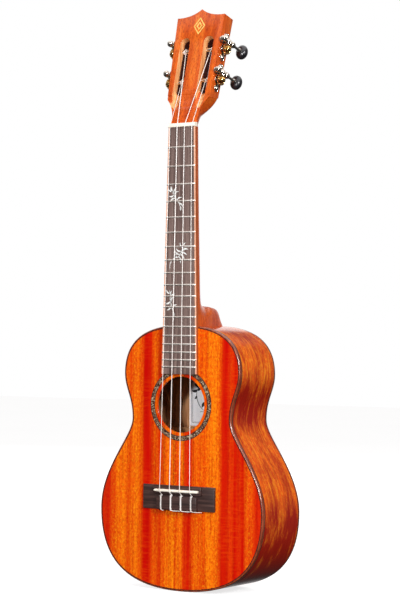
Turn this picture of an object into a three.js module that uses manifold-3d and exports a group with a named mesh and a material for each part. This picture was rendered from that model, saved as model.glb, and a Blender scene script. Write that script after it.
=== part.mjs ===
// Concert ukulele with a slotted headstock and four geared tuners, in millimetres, +Z up.
// It stands upright and faces -Y. The origin is on the centre line at the nut's playing edge,
// in the plane where the fretboard is glued to the neck and the soundboard.
import * as THREE from "three";
import { mergeVertices } from "three/addons/utils/BufferGeometryUtils.js";
import Module from "manifold-3d";

const wasm = await Module();
wasm.setup();

// ---- driving dimensions ----
const GAP = 0.1; // between pieces that rest on each other in a turned group
const FAR = 400; // beyond every piece, for shapes that only cut

// Strings and frets
const SCALE_LENGTH = 380;
const FRET_COUNT = 19;
const NUT_STRING_SPACING = 9.2;
const SADDLE_STRING_SPACING = 12.6;
const STRING_DIAMETERS = [0.62, 0.9, 0.8, 0.66];

// Body outline: half widths and heights of its widest and narrowest places, and how far
// each curve keeps its direction when it leaves them
const TAIL_Z = -488.4;
const LOWER_BOUT = { half: 102.6, z: -404.4 };
const WAIST = { half: 62.4, z: -308.6 };
const UPPER_BOUT = { half: 73.2, z: -259.6 };
const NECK_END_Z = -208.8;
const TAIL_HANDLE = 64.8;
const LOWER_BOUT_HANDLES = { down: 60, up: 42.7 };
const WAIST_HANDLES = { down: 19.2, up: 22.7 };
const UPPER_BOUT_HANDLES = { down: 17.7, up: 28 };
const NECK_END_HANDLE = 56.2;
const CURVE_STEPS = 8; // per curve of the outline

// Body
const NECK_END_DEPTH = 70;
const TAIL_DEPTH = 77;
const PLATE = 2; // thickness of the soundboard and of the back
const SIDE = 1.6; // thickness of the sides, and width of both bindings
const FRONT_BINDING = 4.4; // height along the side
const BACK_BINDING = 3;
const LINING = { width: 5, height: 8 };
const SOUNDHOLE = { radius: 29.5, z: -292.6 };
const ROSETTE = { inner: 33, outer: 38.3, depth: 1 };
const HEEL_BLOCK = { half: 26, inner: -235, outer: -200 };
const TAIL_BLOCK = { half: 24, inner: -474.5, outer: -495 };
const LABEL = { width: 68, height: 52, thickness: 0.3, z: -291.5 };

// Inside braces.
const BRIDGE_PLATE = { half: 52, thickness: 2, top: -370, bottom: -411 };
// The braces' heights on the instrument, and the side each fan brace stands on.
const FACE_BRACES = { upper_face_brace: -244, lower_face_brace: -334 };
const BACK_BRACES = { back_brace_upper: -250, back_brace_middle: -322, back_brace_lower: -404 };
const FAN_BRACES = { fan_brace_left: -1, fan_brace_right: 1 };
const FAN = { top: -342, length: 112, height: 6, width: 5, spread: 22, angle: 0.16 };
// Measured down the back from its top edge.
const CENTRE_STRIP = { half: 6, thickness: 1.6, top: -28, bottom: -263 };
const BRACE = { width: 6, height: 10 };
const BRACE_END = { length: 18, height: 2.5 }; // the low end of a brace

// Neck and fretboard
const NUT_WIDTH = 33.4;
const FRETBOARD = { endWidth: 44, endZ: -260.5, thickness: 4.5, binding: 1.5 };
const FRET = { width: 2, height: 1, tang: 1.8, tangWidth: 0.6 };
const FRET_SPINE = { width: 3, thickness: 0.8 };
const NUT = { length: 4.5, height: 6.4 };
const NUT_SLOT = { floorY: 5.9, edge: 1, fall: 2.8 }; // the floor falls from the edge
const NECK_DEPTH = { nut: 14.5, heel: 16.5 };
const HEEL_TOP_Z = -168;
// The neck's heights, each with how square its section is there.
const NECK_STATIONS = [
  [NECK_END_Z - 6, 3],
  [-196, 3],
  [-186, 1.6],
  [HEEL_TOP_Z - 8, 0.6],
  [HEEL_TOP_Z, 0.35],
  [-120, 0.25],
  [-60, 0.25],
  [0, 0.25],
];
// Each row is the depth behind the neck, the top of the heel there, and its half width.
const HEEL_ROWS = [
  [0, -176, 19.8],
  [2, -181, 19.4],
  [7, -185, 18.6],
  [16, -187.5, 17],
  [29, -189, 14.6],
  [36, -190.5, 13.2],
  [40, -194.5, 12.4],
  [49.9, -208, 11],
];

// Bridge
const BRIDGE = { width: 90, top: -377.6, bottom: -403.1, wing: 2.8 };
const TIE_BLOCK = { width: 50, top: -388.6, height: 7 };
const SADDLE_BED = { width: 60, height: 6 };
const SADDLE = { width: 55, thickness: 3, z: -383, height: 9.6, depth: 4.5 };
const TIE_HOLE = { radius: 0.9, y: -4.3 };

// Headstock, in its own tilted frame: x across, y back from its face, z up along it
const HEAD_TILT_DEGREES = 14.5;
const HEAD_TILT = THREE.MathUtils.degToRad(HEAD_TILT_DEGREES);
const HEAD_ORIGIN = new THREE.Vector3(0, -1, 2.7);
const HEAD = { thickness: 17.5, apex: 132.5, corner: 124.4, cornerHalf: 30.1 };
const SHOULDER = { z: 30, half: 26.7, neckZ: 11 };
const HEAD_SLOT = { inner: 9, outer: 21, bottom: 36, top: 100 };
const RAMP = { lowZ: 19, lowY: -6, highZ: 60, highY: 7 };

// Tuners, each in its own frame: x out of the headstock's side, y back, z up the side
const TUNER_HEIGHTS = { lower: 52, upper: 87 };
const TUNER_PLATE = { thickness: 1.2, half: 5, down: -13, up: 17, tip: 2.2 };
const EAR = { front: -8.6, back: 8.6, thickness: 2, half: 3.6 };
const POST_BORE = { inner: -22, outer: 5 }; // the hole in the head for a post
const POST = { radius: 2.9, innerX: -21.5, stubRadius: 1.9 };
const RUNNING_GAP = 0.08; // radial, between a turning shaft and its hole
const GEAR = { teeth: 14, tip: 5.95, root: 4.85, pitch: 5.5, innerX: 3.3, thickness: 3.4 };
const WORM = { root: 2.2, tip: 3.3, pitchRadius: 2.8, turns: 3, shaft: 1.4, foot: 0.27, flank: 0.14 };
// The thread's foot is that share of a turn from its crest, and its flank that share of a turn.
const GEAR_SCREW = { radius: 2.4, height: 1.4 };
const BUTTON = { startY: 24, length: 9.6, halfX: 6.8, halfZ: 8, bore: 6 };
const POST_LANDING = { lower: 15.2, upper: 16 }; // across, where each string meets its post
// 1 or -1: the sense in which the worm's thread climbs.
const THREAD_HAND = 1;
// Strings 1 and 4 run to the lower posts, 2 and 3 to the upper ones.
const TUNERS = [
  { number: 1, side: -1, height: TUNER_HEIGHTS.lower },
  { number: 2, side: -1, height: TUNER_HEIGHTS.upper },
  { number: 3, side: 1, height: TUNER_HEIGHTS.upper },
  { number: 4, side: 1, height: TUNER_HEIGHTS.lower },
];
const SIDE_ANGLE = Math.atan((HEAD.cornerHalf - SHOULDER.half) / (HEAD.corner - SHOULDER.z));
const WORM_PITCH = (2 * Math.PI * GEAR.pitch) / GEAR.teeth;
const WORM_Z = GEAR.pitch + WORM.pitchRadius;
const GEAR_X = GEAR.innerX + GEAR.thickness / 2;

// ---- materials ----
function material(color, roughness, metalness = 0) {
  return new THREE.MeshStandardMaterial({ color, roughness, metalness });
}
const MAHOGANY = material(0xd9570f, 0.25);
const NECK_WOOD = material(0xc9601f, 0.3);
const INNER_WOOD = material(0xb9824d, 0.8);
const BINDING = material(0x7a3f22, 0.3);
const MAPLE = material(0xe8b59d, 0.4);
const ROSEWOOD = material(0x5a4038, 0.5);
const EBONY = material(0x2e211e, 0.5);
const BONE = material(0xf4ead8, 0.35);
const NYLON = material(0xf0e6e1, 0.3);
const NICKEL = material(0xc9c4ba, 0.25, 1);
const BRASS = material(0xc8a868, 0.3, 1);
const BLACK_PLASTIC = material(0x1b1a1e, 0.3);
const PAPER = material(0xf2f0ec, 0.9);
const PEARL = material(0x6b5a45, 0.3);

// ---- solids ----
// A three.js geometry as a solid that can be joined and cut.
function solidOf(geometry) {
  const bare = geometry.clone();
  bare.deleteAttribute("normal");
  bare.deleteAttribute("uv");
  const merged = mergeVertices(bare, 1e-4);
  const mesh = new wasm.Mesh({
    numProp: 3,
    vertProperties: merged.attributes.position.array,
    triVerts: new Uint32Array(merged.index.array),
  });
  return new wasm.Manifold(mesh);
}

function geometryOf(solid) {
  const mesh = solid.getMesh();
  const geometry = new THREE.BufferGeometry();
  geometry.setAttribute("position", new THREE.BufferAttribute(mesh.vertProperties, 3));
  geometry.setIndex(new THREE.BufferAttribute(mesh.triVerts, 1));
  geometry.computeVertexNormals();
  return geometry;
}

function joined(solids) {
  return solids.reduce((sum, next) => sum.add(next));
}

// A box between two opposite corners.
function boxBetween(low, high) {
  const size = high.map((value, axis) => value - low[axis]);
  const centre = high.map((value, axis) => (value + low[axis]) / 2);
  return new THREE.BoxGeometry(...size.map(Math.abs)).translate(...centre);
}

// An outline of [x, z] points, carried along Y.
function plateBetween(outline, frontY, backY, holes = []) {
  const shape = new THREE.Shape(outline.map(([x, z]) => new THREE.Vector2(x, z)));
  for (const hole of holes) {
    shape.holes.push(new THREE.Path(hole.map(([x, z]) => new THREE.Vector2(x, z))));
  }
  const plate = new THREE.ExtrudeGeometry(shape, { depth: backY - frontY, bevelEnabled: false });
  return plate.rotateX(Math.PI / 2).translate(0, backY, 0);
}

// An outline of [z, y] points, carried along X.
function barAcross(outline, leftX, rightX) {
  const shape = new THREE.Shape(outline.map(([z, y]) => new THREE.Vector2(z, y)));
  const bar = new THREE.ExtrudeGeometry(shape, { depth: rightX - leftX, bevelEnabled: false });
  return bar.rotateY(-Math.PI / 2).translate(rightX, 0, 0);
}

// A cylinder from one point to another.
function rodBetween(start, end, radius, sides = 16) {
  const along = new THREE.Vector3().subVectors(end, start);
  const turn = new THREE.Quaternion().setFromUnitVectors(
    new THREE.Vector3(0, 1, 0),
    along.clone().normalize(),
  );
  const rod = new THREE.CylinderGeometry(radius, radius, along.length(), sides);
  return rod.applyQuaternion(turn).translate(...start.clone().addScaledVector(along, 0.5));
}

// A closed skin through rings of points, with flat ends. The rings have equal counts and run
// anticlockwise as seen from the end of the stack.
function skinThrough(rings) {
  const count = rings[0].length;
  const positions = rings.flat().flatMap((point) => [point.x, point.y, point.z]);
  const faces = [];
  for (let ring = 0; ring < rings.length - 1; ring += 1) {
    for (let corner = 0; corner < count; corner += 1) {
      const a = ring * count + corner;
      const b = ring * count + ((corner + 1) % count);
      faces.push(a, b, b + count, a, b + count, a + count);
    }
  }
  const last = (rings.length - 1) * count;
  for (let corner = 1; corner < count - 1; corner += 1) {
    faces.push(0, corner + 1, corner);
    faces.push(last, last + corner, last + corner + 1);
  }
  const geometry = new THREE.BufferGeometry();
  geometry.setAttribute("position", new THREE.Float32BufferAttribute(positions, 3));
  geometry.setIndex(faces);
  geometry.computeVertexNormals();
  return geometry;
}

function circle(radius, centreZ = 0, sides = 36) {
  return Array.from({ length: sides }, (_, index) => {
    const angle = (2 * Math.PI * index) / sides;
    return [radius * Math.cos(angle), centreZ + radius * Math.sin(angle)];
  });
}

function mirrored(points) {
  return points.map(([x, z]) => [-x, z]).reverse();
}

function named(name, geometry, finish) {
  const mesh = new THREE.Mesh(geometry, finish);
  mesh.name = name;
  return mesh;
}

const ukulele = new THREE.Group();

// ---- body outline ----
function curveBetween(start, startHandle, endHandle, end) {
  const [a, b, c, d] = [start, startHandle, endHandle, end].map((p) => new THREE.Vector2(...p));
  return new THREE.CubicBezierCurve(a, b, c, d);
}

// The right half, from the tail's centre to the neck's.
const HALF_CURVES = [
  curveBetween(
    [0, TAIL_Z],
    [TAIL_HANDLE, TAIL_Z],
    [LOWER_BOUT.half, LOWER_BOUT.z - LOWER_BOUT_HANDLES.down],
    [LOWER_BOUT.half, LOWER_BOUT.z],
  ),
  curveBetween(
    [LOWER_BOUT.half, LOWER_BOUT.z],
    [LOWER_BOUT.half, LOWER_BOUT.z + LOWER_BOUT_HANDLES.up],
    [WAIST.half, WAIST.z - WAIST_HANDLES.down],
    [WAIST.half, WAIST.z],
  ),
  curveBetween(
    [WAIST.half, WAIST.z],
    [WAIST.half, WAIST.z + WAIST_HANDLES.up],
    [UPPER_BOUT.half, UPPER_BOUT.z - UPPER_BOUT_HANDLES.down],
    [UPPER_BOUT.half, UPPER_BOUT.z],
  ),
  curveBetween(
    [UPPER_BOUT.half, UPPER_BOUT.z],
    [UPPER_BOUT.half, UPPER_BOUT.z + UPPER_BOUT_HANDLES.up],
    [NECK_END_HANDLE, NECK_END_Z],
    [0, NECK_END_Z],
  ),
];

// The right half of the outline, a distance inside the body's outer edge.
function halfOutline(inset) {
  const points = [];
  HALF_CURVES.forEach((curve, index) => {
    const first = index === 0 ? 0 : 1;
    for (let step = first; step <= CURVE_STEPS; step += 1) {
      const place = curve.getPoint(step / CURVE_STEPS);
      const along = curve.getTangent(step / CURVE_STEPS);
      points.push([place.x - inset * along.y, place.y + inset * along.x]);
    }
  });
  points[0][0] = 0;
  points[points.length - 1][0] = 0;
  return points;
}

function wholeOutline(inset) {
  return [...halfOutline(inset), ...mirrored(halfOutline(inset)).slice(1, -1)];
}

// Half the width inside the body at a height, a distance inside its outer edge.
function halfWidthAt(z, inset) {
  const points = halfOutline(inset);
  const upper = points.findIndex(([, height]) => height > z);
  const [x0, z0] = points[upper - 1];
  const [x1, z1] = points[upper];
  return x0 + ((x1 - x0) * (z - z0)) / (z1 - z0);
}

// ---- the back's slope ----
const BACK_SLOPE = Math.atan((TAIL_DEPTH - NECK_END_DEPTH) / (NECK_END_Z - TAIL_Z));
const BACK_ORIGIN = new THREE.Vector3(0, NECK_END_DEPTH, NECK_END_Z);

function turnedToBack(geometry) {
  return geometry.rotateX(BACK_SLOPE).translate(...BACK_ORIGIN);
}

// Everything between two depths under the back's outer face.
function layerUnderBack(shallow, deep) {
  const layer = boxBetween([-FAR, -deep, -FAR], [FAR, -shallow, FAR]);
  return solidOf(turnedToBack(layer));
}

const BEHIND = TAIL_DEPTH + 30;

// ---- soundboard, rosette, back and bindings ----
function ringPlate(outer, inner, frontY, backY) {
  return plateBetween(wholeOutline(outer), frontY, backY, [wholeOutline(inner)]);
}

function addPlates() {
  const hole = circle(SOUNDHOLE.radius, SOUNDHOLE.z);
  const board = solidOf(plateBetween(wholeOutline(SIDE), 0, PLATE, [hole]));
  const rosette = plateBetween(
    circle(ROSETTE.outer, SOUNDHOLE.z),
    0,
    ROSETTE.depth,
    [circle(ROSETTE.inner, SOUNDHOLE.z)],
  );
  const channel = plateBetween(
    circle(ROSETTE.outer, SOUNDHOLE.z),
    -ROSETTE.depth,
    ROSETTE.depth,
    [circle(ROSETTE.inner, SOUNDHOLE.z)],
  );
  ukulele.add(named("soundboard", geometryOf(board.subtract(solidOf(channel))), MAHOGANY));
  ukulele.add(named("rosette", rosette, PEARL));

  const back = solidOf(plateBetween(wholeOutline(SIDE), 0, BEHIND));
  const backPlate = back.intersect(layerUnderBack(0, PLATE));
  ukulele.add(named("back_plate", geometryOf(backPlate), MAHOGANY));

  const frontBinding = ringPlate(0, SIDE, 0, FRONT_BINDING);
  ukulele.add(named("front_binding", frontBinding, BINDING));
  const backBinding = solidOf(ringPlate(0, SIDE, 0, BEHIND));
  const backEdge = backBinding.intersect(layerUnderBack(0, BACK_BINDING));
  ukulele.add(named("back_binding", geometryOf(backEdge), BINDING));
}

// ---- sides, end blocks and linings ----
// Half of a strip that follows the outline, between two distances inside it.
function bentStrip(outer, inner, frontY, backY) {
  const outline = [...halfOutline(outer), ...halfOutline(inner).reverse()];
  return solidOf(plateBetween(outline, frontY, backY));
}

function endBlock({ half, inner, outer }) {
  const block = solidOf(boxBetween([-half, PLATE, inner], [half, BEHIND, outer]));
  const inside = solidOf(plateBetween(wholeOutline(SIDE), PLATE, BEHIND));
  return block.intersect(inside).subtract(layerUnderBack(-BEHIND, PLATE + GAP));
}

function endBlockRoom({ half, inner, outer }) {
  return solidOf(boxBetween([-half - GAP, 0, inner], [half + GAP, BEHIND, outer]));
}

function addOnBothSides(name, solid, finish) {
  ukulele.add(named(`${name}_right`, geometryOf(solid), finish));
  ukulele.add(named(`${name}_left`, geometryOf(solid.mirror([1, 0, 0])), finish));
}

function addRim(braces) {
  ukulele.add(named("heel_block", geometryOf(endBlock(HEEL_BLOCK)), INNER_WOOD));
  ukulele.add(named("tail_block", geometryOf(endBlock(TAIL_BLOCK)), INNER_WOOD));

  const wall = bentStrip(0, SIDE, FRONT_BINDING, BEHIND);
  addOnBothSides("side", wall.subtract(layerUnderBack(-BEHIND, BACK_BINDING)), MAHOGANY);

  const inner = SIDE + LINING.width;
  const takenOut = joined([endBlockRoom(HEEL_BLOCK), endBlockRoom(TAIL_BLOCK), ...braces]);
  const frontLining = bentStrip(SIDE, inner, PLATE, PLATE + LINING.height);
  addOnBothSides("front_lining", frontLining.subtract(takenOut), INNER_WOOD);
  const backLayer = layerUnderBack(PLATE + GAP, PLATE + LINING.height);
  const backLining = bentStrip(SIDE, inner, PLATE, BEHIND).intersect(backLayer);
  addOnBothSides("back_lining", backLining.subtract(takenOut), INNER_WOOD);
}

// ---- braces, bridge plate and label ----
// A bar along X from -half to half, on the plane y = 0 and standing towards +Y, with low ends.
function braceBar(half, width, height) {
  const outline = new THREE.Shape([
    new THREE.Vector2(-half, 0),
    new THREE.Vector2(half, 0),
    new THREE.Vector2(half, BRACE_END.height),
    new THREE.Vector2(half - BRACE_END.length, height),
    new THREE.Vector2(BRACE_END.length - half, height),
    new THREE.Vector2(-half, BRACE_END.height),
  ]);
  const bar = new THREE.ExtrudeGeometry(outline, { depth: width, bevelEnabled: false });
  return bar.translate(0, 0, -width / 2);
}

// A brace that reaches from side to side at a height.
function acrossBrace(z) {
  const halves = [z - BRACE.width / 2, z + BRACE.width / 2].map((edge) => halfWidthAt(edge, SIDE));
  return braceBar(Math.min(...halves) - 0.5, BRACE.width, BRACE.height);
}

function addBraces() {
  const plate = boxBetween(
    [-BRIDGE_PLATE.half, PLATE, BRIDGE_PLATE.bottom],
    [BRIDGE_PLATE.half, PLATE + BRIDGE_PLATE.thickness, BRIDGE_PLATE.top],
  );
  ukulele.add(named("bridge_plate", plate, INNER_WOOD));
  const plateRoom = solidOf(plate).translate([0, GAP, 0]).add(solidOf(plate));

  const braces = [];
  for (const [name, z] of Object.entries(FACE_BRACES)) {
    const brace = solidOf(acrossBrace(z).translate(0, PLATE, z));
    ukulele.add(named(name, geometryOf(brace), INNER_WOOD));
    braces.push(brace);
  }
  for (const [name, side] of Object.entries(FAN_BRACES)) {
    const bar = braceBar(FAN.length / 2, FAN.width, FAN.height).rotateY(Math.PI / 2);
    bar.translate(0, PLATE + GAP, -FAN.length / 2).rotateY(-side * FAN.angle);
    const brace = solidOf(bar.translate(side * FAN.spread, 0, FAN.top)).subtract(plateRoom);
    ukulele.add(named(name, geometryOf(brace), INNER_WOOD));
  }

  const strip = turnedToBack(
    boxBetween(
      [-CENTRE_STRIP.half, -PLATE - GAP - CENTRE_STRIP.thickness, CENTRE_STRIP.bottom],
      [CENTRE_STRIP.half, -PLATE - GAP, CENTRE_STRIP.top - GAP],
    ),
  );
  ukulele.add(named("back_centre_strip", strip, INNER_WOOD));
  const stripRoom = solidOf(strip).add(solidOf(strip).translate([0, -GAP, 0]));
  for (const [name, z] of Object.entries(BACK_BRACES)) {
    const bar = acrossBrace(z).rotateZ(Math.PI).translate(0, -PLATE - GAP, z - NECK_END_Z);
    const whole = solidOf(turnedToBack(bar));
    ukulele.add(named(name, geometryOf(whole.subtract(stripRoom)), INNER_WOOD));
    braces.push(whole);
  }

  const front = -PLATE - CENTRE_STRIP.thickness - 3 * GAP;
  const labelPlace = LABEL.z - NECK_END_Z;
  const label = turnedToBack(
    boxBetween(
      [-LABEL.width / 2, front - LABEL.thickness, labelPlace - LABEL.height / 2],
      [LABEL.width / 2, front, labelPlace + LABEL.height / 2],
    ),
  );
  ukulele.add(named("label", label, PAPER));
  return braces;
}

// ---- strings' places ----
function stringX(index, spacing) {
  return (index - 1.5) * spacing;
}

// ---- bridge and saddle ----
function addBridge() {
  const base = boxBetween(
    [-BRIDGE.width / 2, -BRIDGE.wing, BRIDGE.bottom],
    [BRIDGE.width / 2, 0, BRIDGE.top],
  );
  const bed = boxBetween(
    [-SADDLE_BED.width / 2, -SADDLE_BED.height, TIE_BLOCK.top + 2],
    [SADDLE_BED.width / 2, 0, BRIDGE.top],
  );
  const tieBlock = boxBetween(
    [-TIE_BLOCK.width / 2, -TIE_BLOCK.height, BRIDGE.bottom],
    [TIE_BLOCK.width / 2, 0, TIE_BLOCK.top],
  );
  const slot = boxBetween(
    [-SADDLE.width / 2, -SADDLE.height, SADDLE.z - SADDLE.thickness / 2],
    [SADDLE.width / 2, SADDLE.depth - SADDLE_BED.height, SADDLE.z + SADDLE.thickness / 2],
  );
  const holes = STRING_DIAMETERS.map((_, index) => {
    const x = stringX(index, SADDLE_STRING_SPACING);
    const front = new THREE.Vector3(x, TIE_HOLE.y, TIE_BLOCK.top + 2);
    const back = new THREE.Vector3(x, TIE_HOLE.y, BRIDGE.bottom - 1);
    return solidOf(rodBetween(front, back, TIE_HOLE.radius, 8));
  });
  const bridge = joined([base, bed, tieBlock].map(solidOf)).subtract(joined([solidOf(slot), ...holes]));
  ukulele.add(named("bridge", geometryOf(bridge), EBONY));

  const half = (SADDLE.thickness - GAP) / 2;
  const foot = SADDLE.depth - SADDLE_BED.height - GAP;
  const profile = [[SADDLE.z - half, foot], [SADDLE.z + half, foot]];
  const crownSteps = 6;
  for (let step = 0; step <= crownSteps; step += 1) {
    const angle = (Math.PI * step) / crownSteps;
    const up = SADDLE.height - half + half * Math.sin(angle);
    profile.push([SADDLE.z + half * Math.cos(angle), -up]);
  }
  const end = (SADDLE.width - GAP) / 2;
  ukulele.add(named("saddle", barAcross(profile, -end, end), BONE));
}

// ---- neck and heel ----
function boardWidthAt(z) {
  return NUT_WIDTH + ((FRETBOARD.endWidth - NUT_WIDTH) * z) / FRETBOARD.endZ;
}

// Points round the neck's section: flat in front at y = 0, and rounded behind. A low squareness
// gives a half ellipse, and a high one a box.
function neckSection(z, width, depth, squareness, frontY = 0, steps = 14) {
  const power = 1 / (1 + squareness);
  return Array.from({ length: steps + 1 }, (_, index) => {
    const angle = (Math.PI * index) / steps;
    const across = Math.abs(Math.cos(angle)) ** power * Math.sign(Math.cos(angle));
    const back = Math.max(Math.sin(angle), 0) ** power;
    return new THREE.Vector3((across * width) / 2, frontY + back * depth, z);
  });
}

function bodyRoom(gap) {
  return solidOf(plateBetween(wholeOutline(-gap), -1, BEHIND));
}

function addNeck() {
  const rings = [];
  const slope = (NECK_DEPTH.heel - NECK_DEPTH.nut) / HEEL_TOP_Z;
  for (const [z, squareness] of NECK_STATIONS) {
    const depth = Math.min(NECK_DEPTH.nut + slope * z, NECK_DEPTH.heel);
    rings.push(neckSection(z, boardWidthAt(z), depth, squareness));
  }
  const neck = solidOf(skinThrough(rings)).subtract(bodyRoom(GAP));
  ukulele.add(named("neck", geometryOf(neck), NECK_WOOD));

  const start = NECK_DEPTH.heel + GAP;
  const heelRings = HEEL_ROWS.map(([behind, top, half]) => heelSection(start + behind, top, half));
  const heel = solidOf(skinThrough(heelRings)).subtract(bodyRoom(GAP));
  ukulele.add(named("neck_heel", geometryOf(heel), NECK_WOOD));
}

// The heel's section at a depth: a rounded block that stands up from the body.
function heelSection(y, top, half) {
  const foot = NECK_END_Z - 6;
  const steps = 10;
  return Array.from({ length: steps + 1 }, (_, index) => {
    const angle = Math.PI - (Math.PI * index) / steps;
    const across = Math.abs(Math.cos(angle)) ** 0.5 * Math.sign(Math.cos(angle));
    const up = Math.max(Math.sin(angle), 0) ** 0.5;
    return new THREE.Vector3(across * half, y, foot + up * (top - foot));
  });
}

// ---- fretboard, frets and nut ----
function taperedBar(inset, topZ, bottomZ) {
  const top = boardWidthAt(topZ) / 2 - inset;
  const bottom = boardWidthAt(bottomZ) / 2 - inset;
  return [
    [-bottom, bottomZ],
    [bottom, bottomZ],
    [top, topZ],
    [-top, topZ],
  ];
}

function addFretboard() {
  const { thickness, binding, endZ } = FRETBOARD;
  const inner = taperedBar(binding, 0, endZ + binding);
  const outer = taperedBar(0, 0, endZ);
  const frets = fretSolid(0);
  const room = fretSolid(GAP);
  const board = solidOf(plateBetween(inner, -thickness, 0)).subtract(room);
  ukulele.add(named("fretboard", geometryOf(board), ROSEWOOD));
  const around = solidOf(plateBetween(outer, -thickness, 0));
  const core = solidOf(plateBetween(inner, -thickness - 1, 1));
  const above = solidOf(boxBetween([-FAR, -FAR, -GAP], [FAR, FAR, FAR]));
  const edging = around.subtract(core).subtract(above);
  ukulele.add(named("fretboard_binding", geometryOf(edging), MAPLE));
  ukulele.add(named("frets", geometryOf(frets), NICKEL));
}

function fretZ(number) {
  return -SCALE_LENGTH * (1 - 2 ** (-number / 12));
}

// All the frets, each with its tang, on one thin strip that lies inside the fretboard.
function fretSolid(clearance) {
  const face = -FRETBOARD.thickness;
  const { width, height, tang, tangWidth } = FRET;
  const parts = [];
  for (let number = 1; number <= FRET_COUNT; number += 1) {
    const z = fretZ(number);
    const half = boardWidthAt(z) / 2 - 0.3;
    const crown = [
      [z - width / 2, face - GAP / 2],
      [z + width / 2, face - GAP / 2],
      [z + width / 4, face - height],
      [z - width / 4, face - height],
    ];
    parts.push(barAcross(crown, -half, half));
    const tangHalf = boardWidthAt(z) / 2 - FRETBOARD.binding - 1;
    const thin = tangWidth / 2 + clearance;
    parts.push(
      boxBetween(
        [-tangHalf - clearance, face - 0.3, z - thin],
        [tangHalf + clearance, face + tang + clearance, z + thin],
      ),
    );
  }
  const spineTop = face + FRET.tang - FRET_SPINE.thickness;
  const spineHalf = FRET_SPINE.width / 2 + clearance;
  parts.push(
    boxBetween(
      [-spineHalf, spineTop - clearance, fretZ(FRET_COUNT) - clearance],
      [spineHalf, face + FRET.tang + clearance, fretZ(1) + clearance],
    ),
  );
  return joined(parts.map(solidOf));
}

function addNut() {
  const corner = 1.2;
  const profile = [
    [0, -GAP],
    [0, corner / 2 - NUT.height],
    [corner, -NUT.height],
    [NUT.length - corner, corner - NUT.height],
    [NUT.length, 2 * corner - NUT.height],
    [NUT.length, -GAP],
  ];
  const bar = solidOf(barAcross(profile, -NUT_WIDTH / 2, NUT_WIDTH / 2));
  const slot = [
    [-1, -NUT.height - 1],
    [-1, -NUT_SLOT.floorY],
    [NUT_SLOT.edge, -NUT_SLOT.floorY],
    [NUT.length + 1, NUT_SLOT.fall - NUT_SLOT.floorY],
    [NUT.length + 1, -NUT.height - 1],
  ];
  const slots = STRING_DIAMETERS.map((diameter, index) => {
    const x = stringX(index, NUT_STRING_SPACING);
    const half = diameter / 2 + GAP;
    return solidOf(barAcross(slot, x - half, x + half));
  });
  ukulele.add(named("nut", geometryOf(bar.subtract(joined(slots))), BONE));
}

// ---- headstock ----
const headGroup = new THREE.Group();
headGroup.position.copy(HEAD_ORIGIN);
headGroup.rotation.x = -HEAD_TILT;

// Three corners on each side, with hollow curves beside the apex and above the neck.
function headOutline() {
  const neckHalf = NUT_WIDTH / 2;
  const shape = new THREE.Shape();
  shape.moveTo(-neckHalf, 4);
  shape.lineTo(neckHalf, 4);
  shape.lineTo(neckHalf, SHOULDER.neckZ);
  shape.quadraticCurveTo(neckHalf + 1, SHOULDER.neckZ + 10, SHOULDER.half, SHOULDER.z);
  shape.lineTo(HEAD.cornerHalf, HEAD.corner);
  shape.quadraticCurveTo(HEAD.cornerHalf / 2.6, HEAD.corner - 1, 0, HEAD.apex);
  shape.quadraticCurveTo(-HEAD.cornerHalf / 2.6, HEAD.corner - 1, -HEAD.cornerHalf, HEAD.corner);
  shape.lineTo(-SHOULDER.half, SHOULDER.z);
  shape.quadraticCurveTo(-neckHalf - 1, SHOULDER.neckZ + 10, -neckHalf, SHOULDER.neckZ);
  return shape.getPoints(6).map((point) => [point.x, point.y]);
}

function slotOutline(side) {
  const { inner, outer, bottom, top } = HEAD_SLOT;
  const centre = (inner + outer) / 2;
  const radius = (outer - inner) / 2;
  const shape = new THREE.Shape();
  shape.absarc(side * centre, top - radius, radius, 0, Math.PI);
  shape.absarc(side * centre, bottom + radius, radius, Math.PI, 2 * Math.PI);
  return shape.getPoints(5).map((point) => [point.x, point.y]);
}

function slotCut(side) {
  const through = solidOf(plateBetween(slotOutline(side), -1, HEAD.thickness + 1));
  const centre = (side * (HEAD_SLOT.inner + HEAD_SLOT.outer)) / 2;
  const radius = (HEAD_SLOT.outer - HEAD_SLOT.inner) / 2 - 0.1;
  const low = new THREE.Vector3(centre, RAMP.lowY, RAMP.lowZ);
  const high = new THREE.Vector3(centre, RAMP.highY, RAMP.highZ);
  return through.add(solidOf(rodBetween(low, high, radius, 16)));
}

// The stem that carries the neck's rounded back into the headstock's flat one.
function headStem() {
  const rings = [
    neckSection(-6, NUT_WIDTH, 13.4, 0.25, 1),
    neckSection(2, NUT_WIDTH, 14.2, 0.3, 1),
    neckSection(8, NUT_WIDTH, 16.2, 1, 0.4),
    neckSection(14, NUT_WIDTH, HEAD.thickness - 0.2, 4, 0.1),
  ];
  const aboveNut = solidOf(boxBetween([-FAR, -FAR, GAP], [FAR, FAR, FAR]));
  const tilt = [-HEAD_TILT_DEGREES, 0, 0];
  const back = [HEAD_TILT_DEGREES, 0, 0];
  const stem = solidOf(skinThrough(rings)).rotate(tilt).translate([...HEAD_ORIGIN]);
  const room = stem.intersect(aboveNut).subtract(nutRoom());
  return room.translate([...HEAD_ORIGIN].map((value) => -value)).rotate(back);
}

function nutRoom() {
  return solidOf(boxBetween([-FAR, -FAR, -FAR], [FAR, 0, NUT.length + GAP]));
}

function addHeadstock() {
  let head = solidOf(plateBetween(headOutline(), 0, HEAD.thickness)).add(headStem());
  for (const side of [-1, 1]) {
    head = head.subtract(slotCut(side));
  }
  for (const { side, height } of TUNERS) {
    head = head.subtract(postBore(side, height));
  }
  headGroup.add(named("headstock", geometryOf(head), NECK_WOOD));
}

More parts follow.
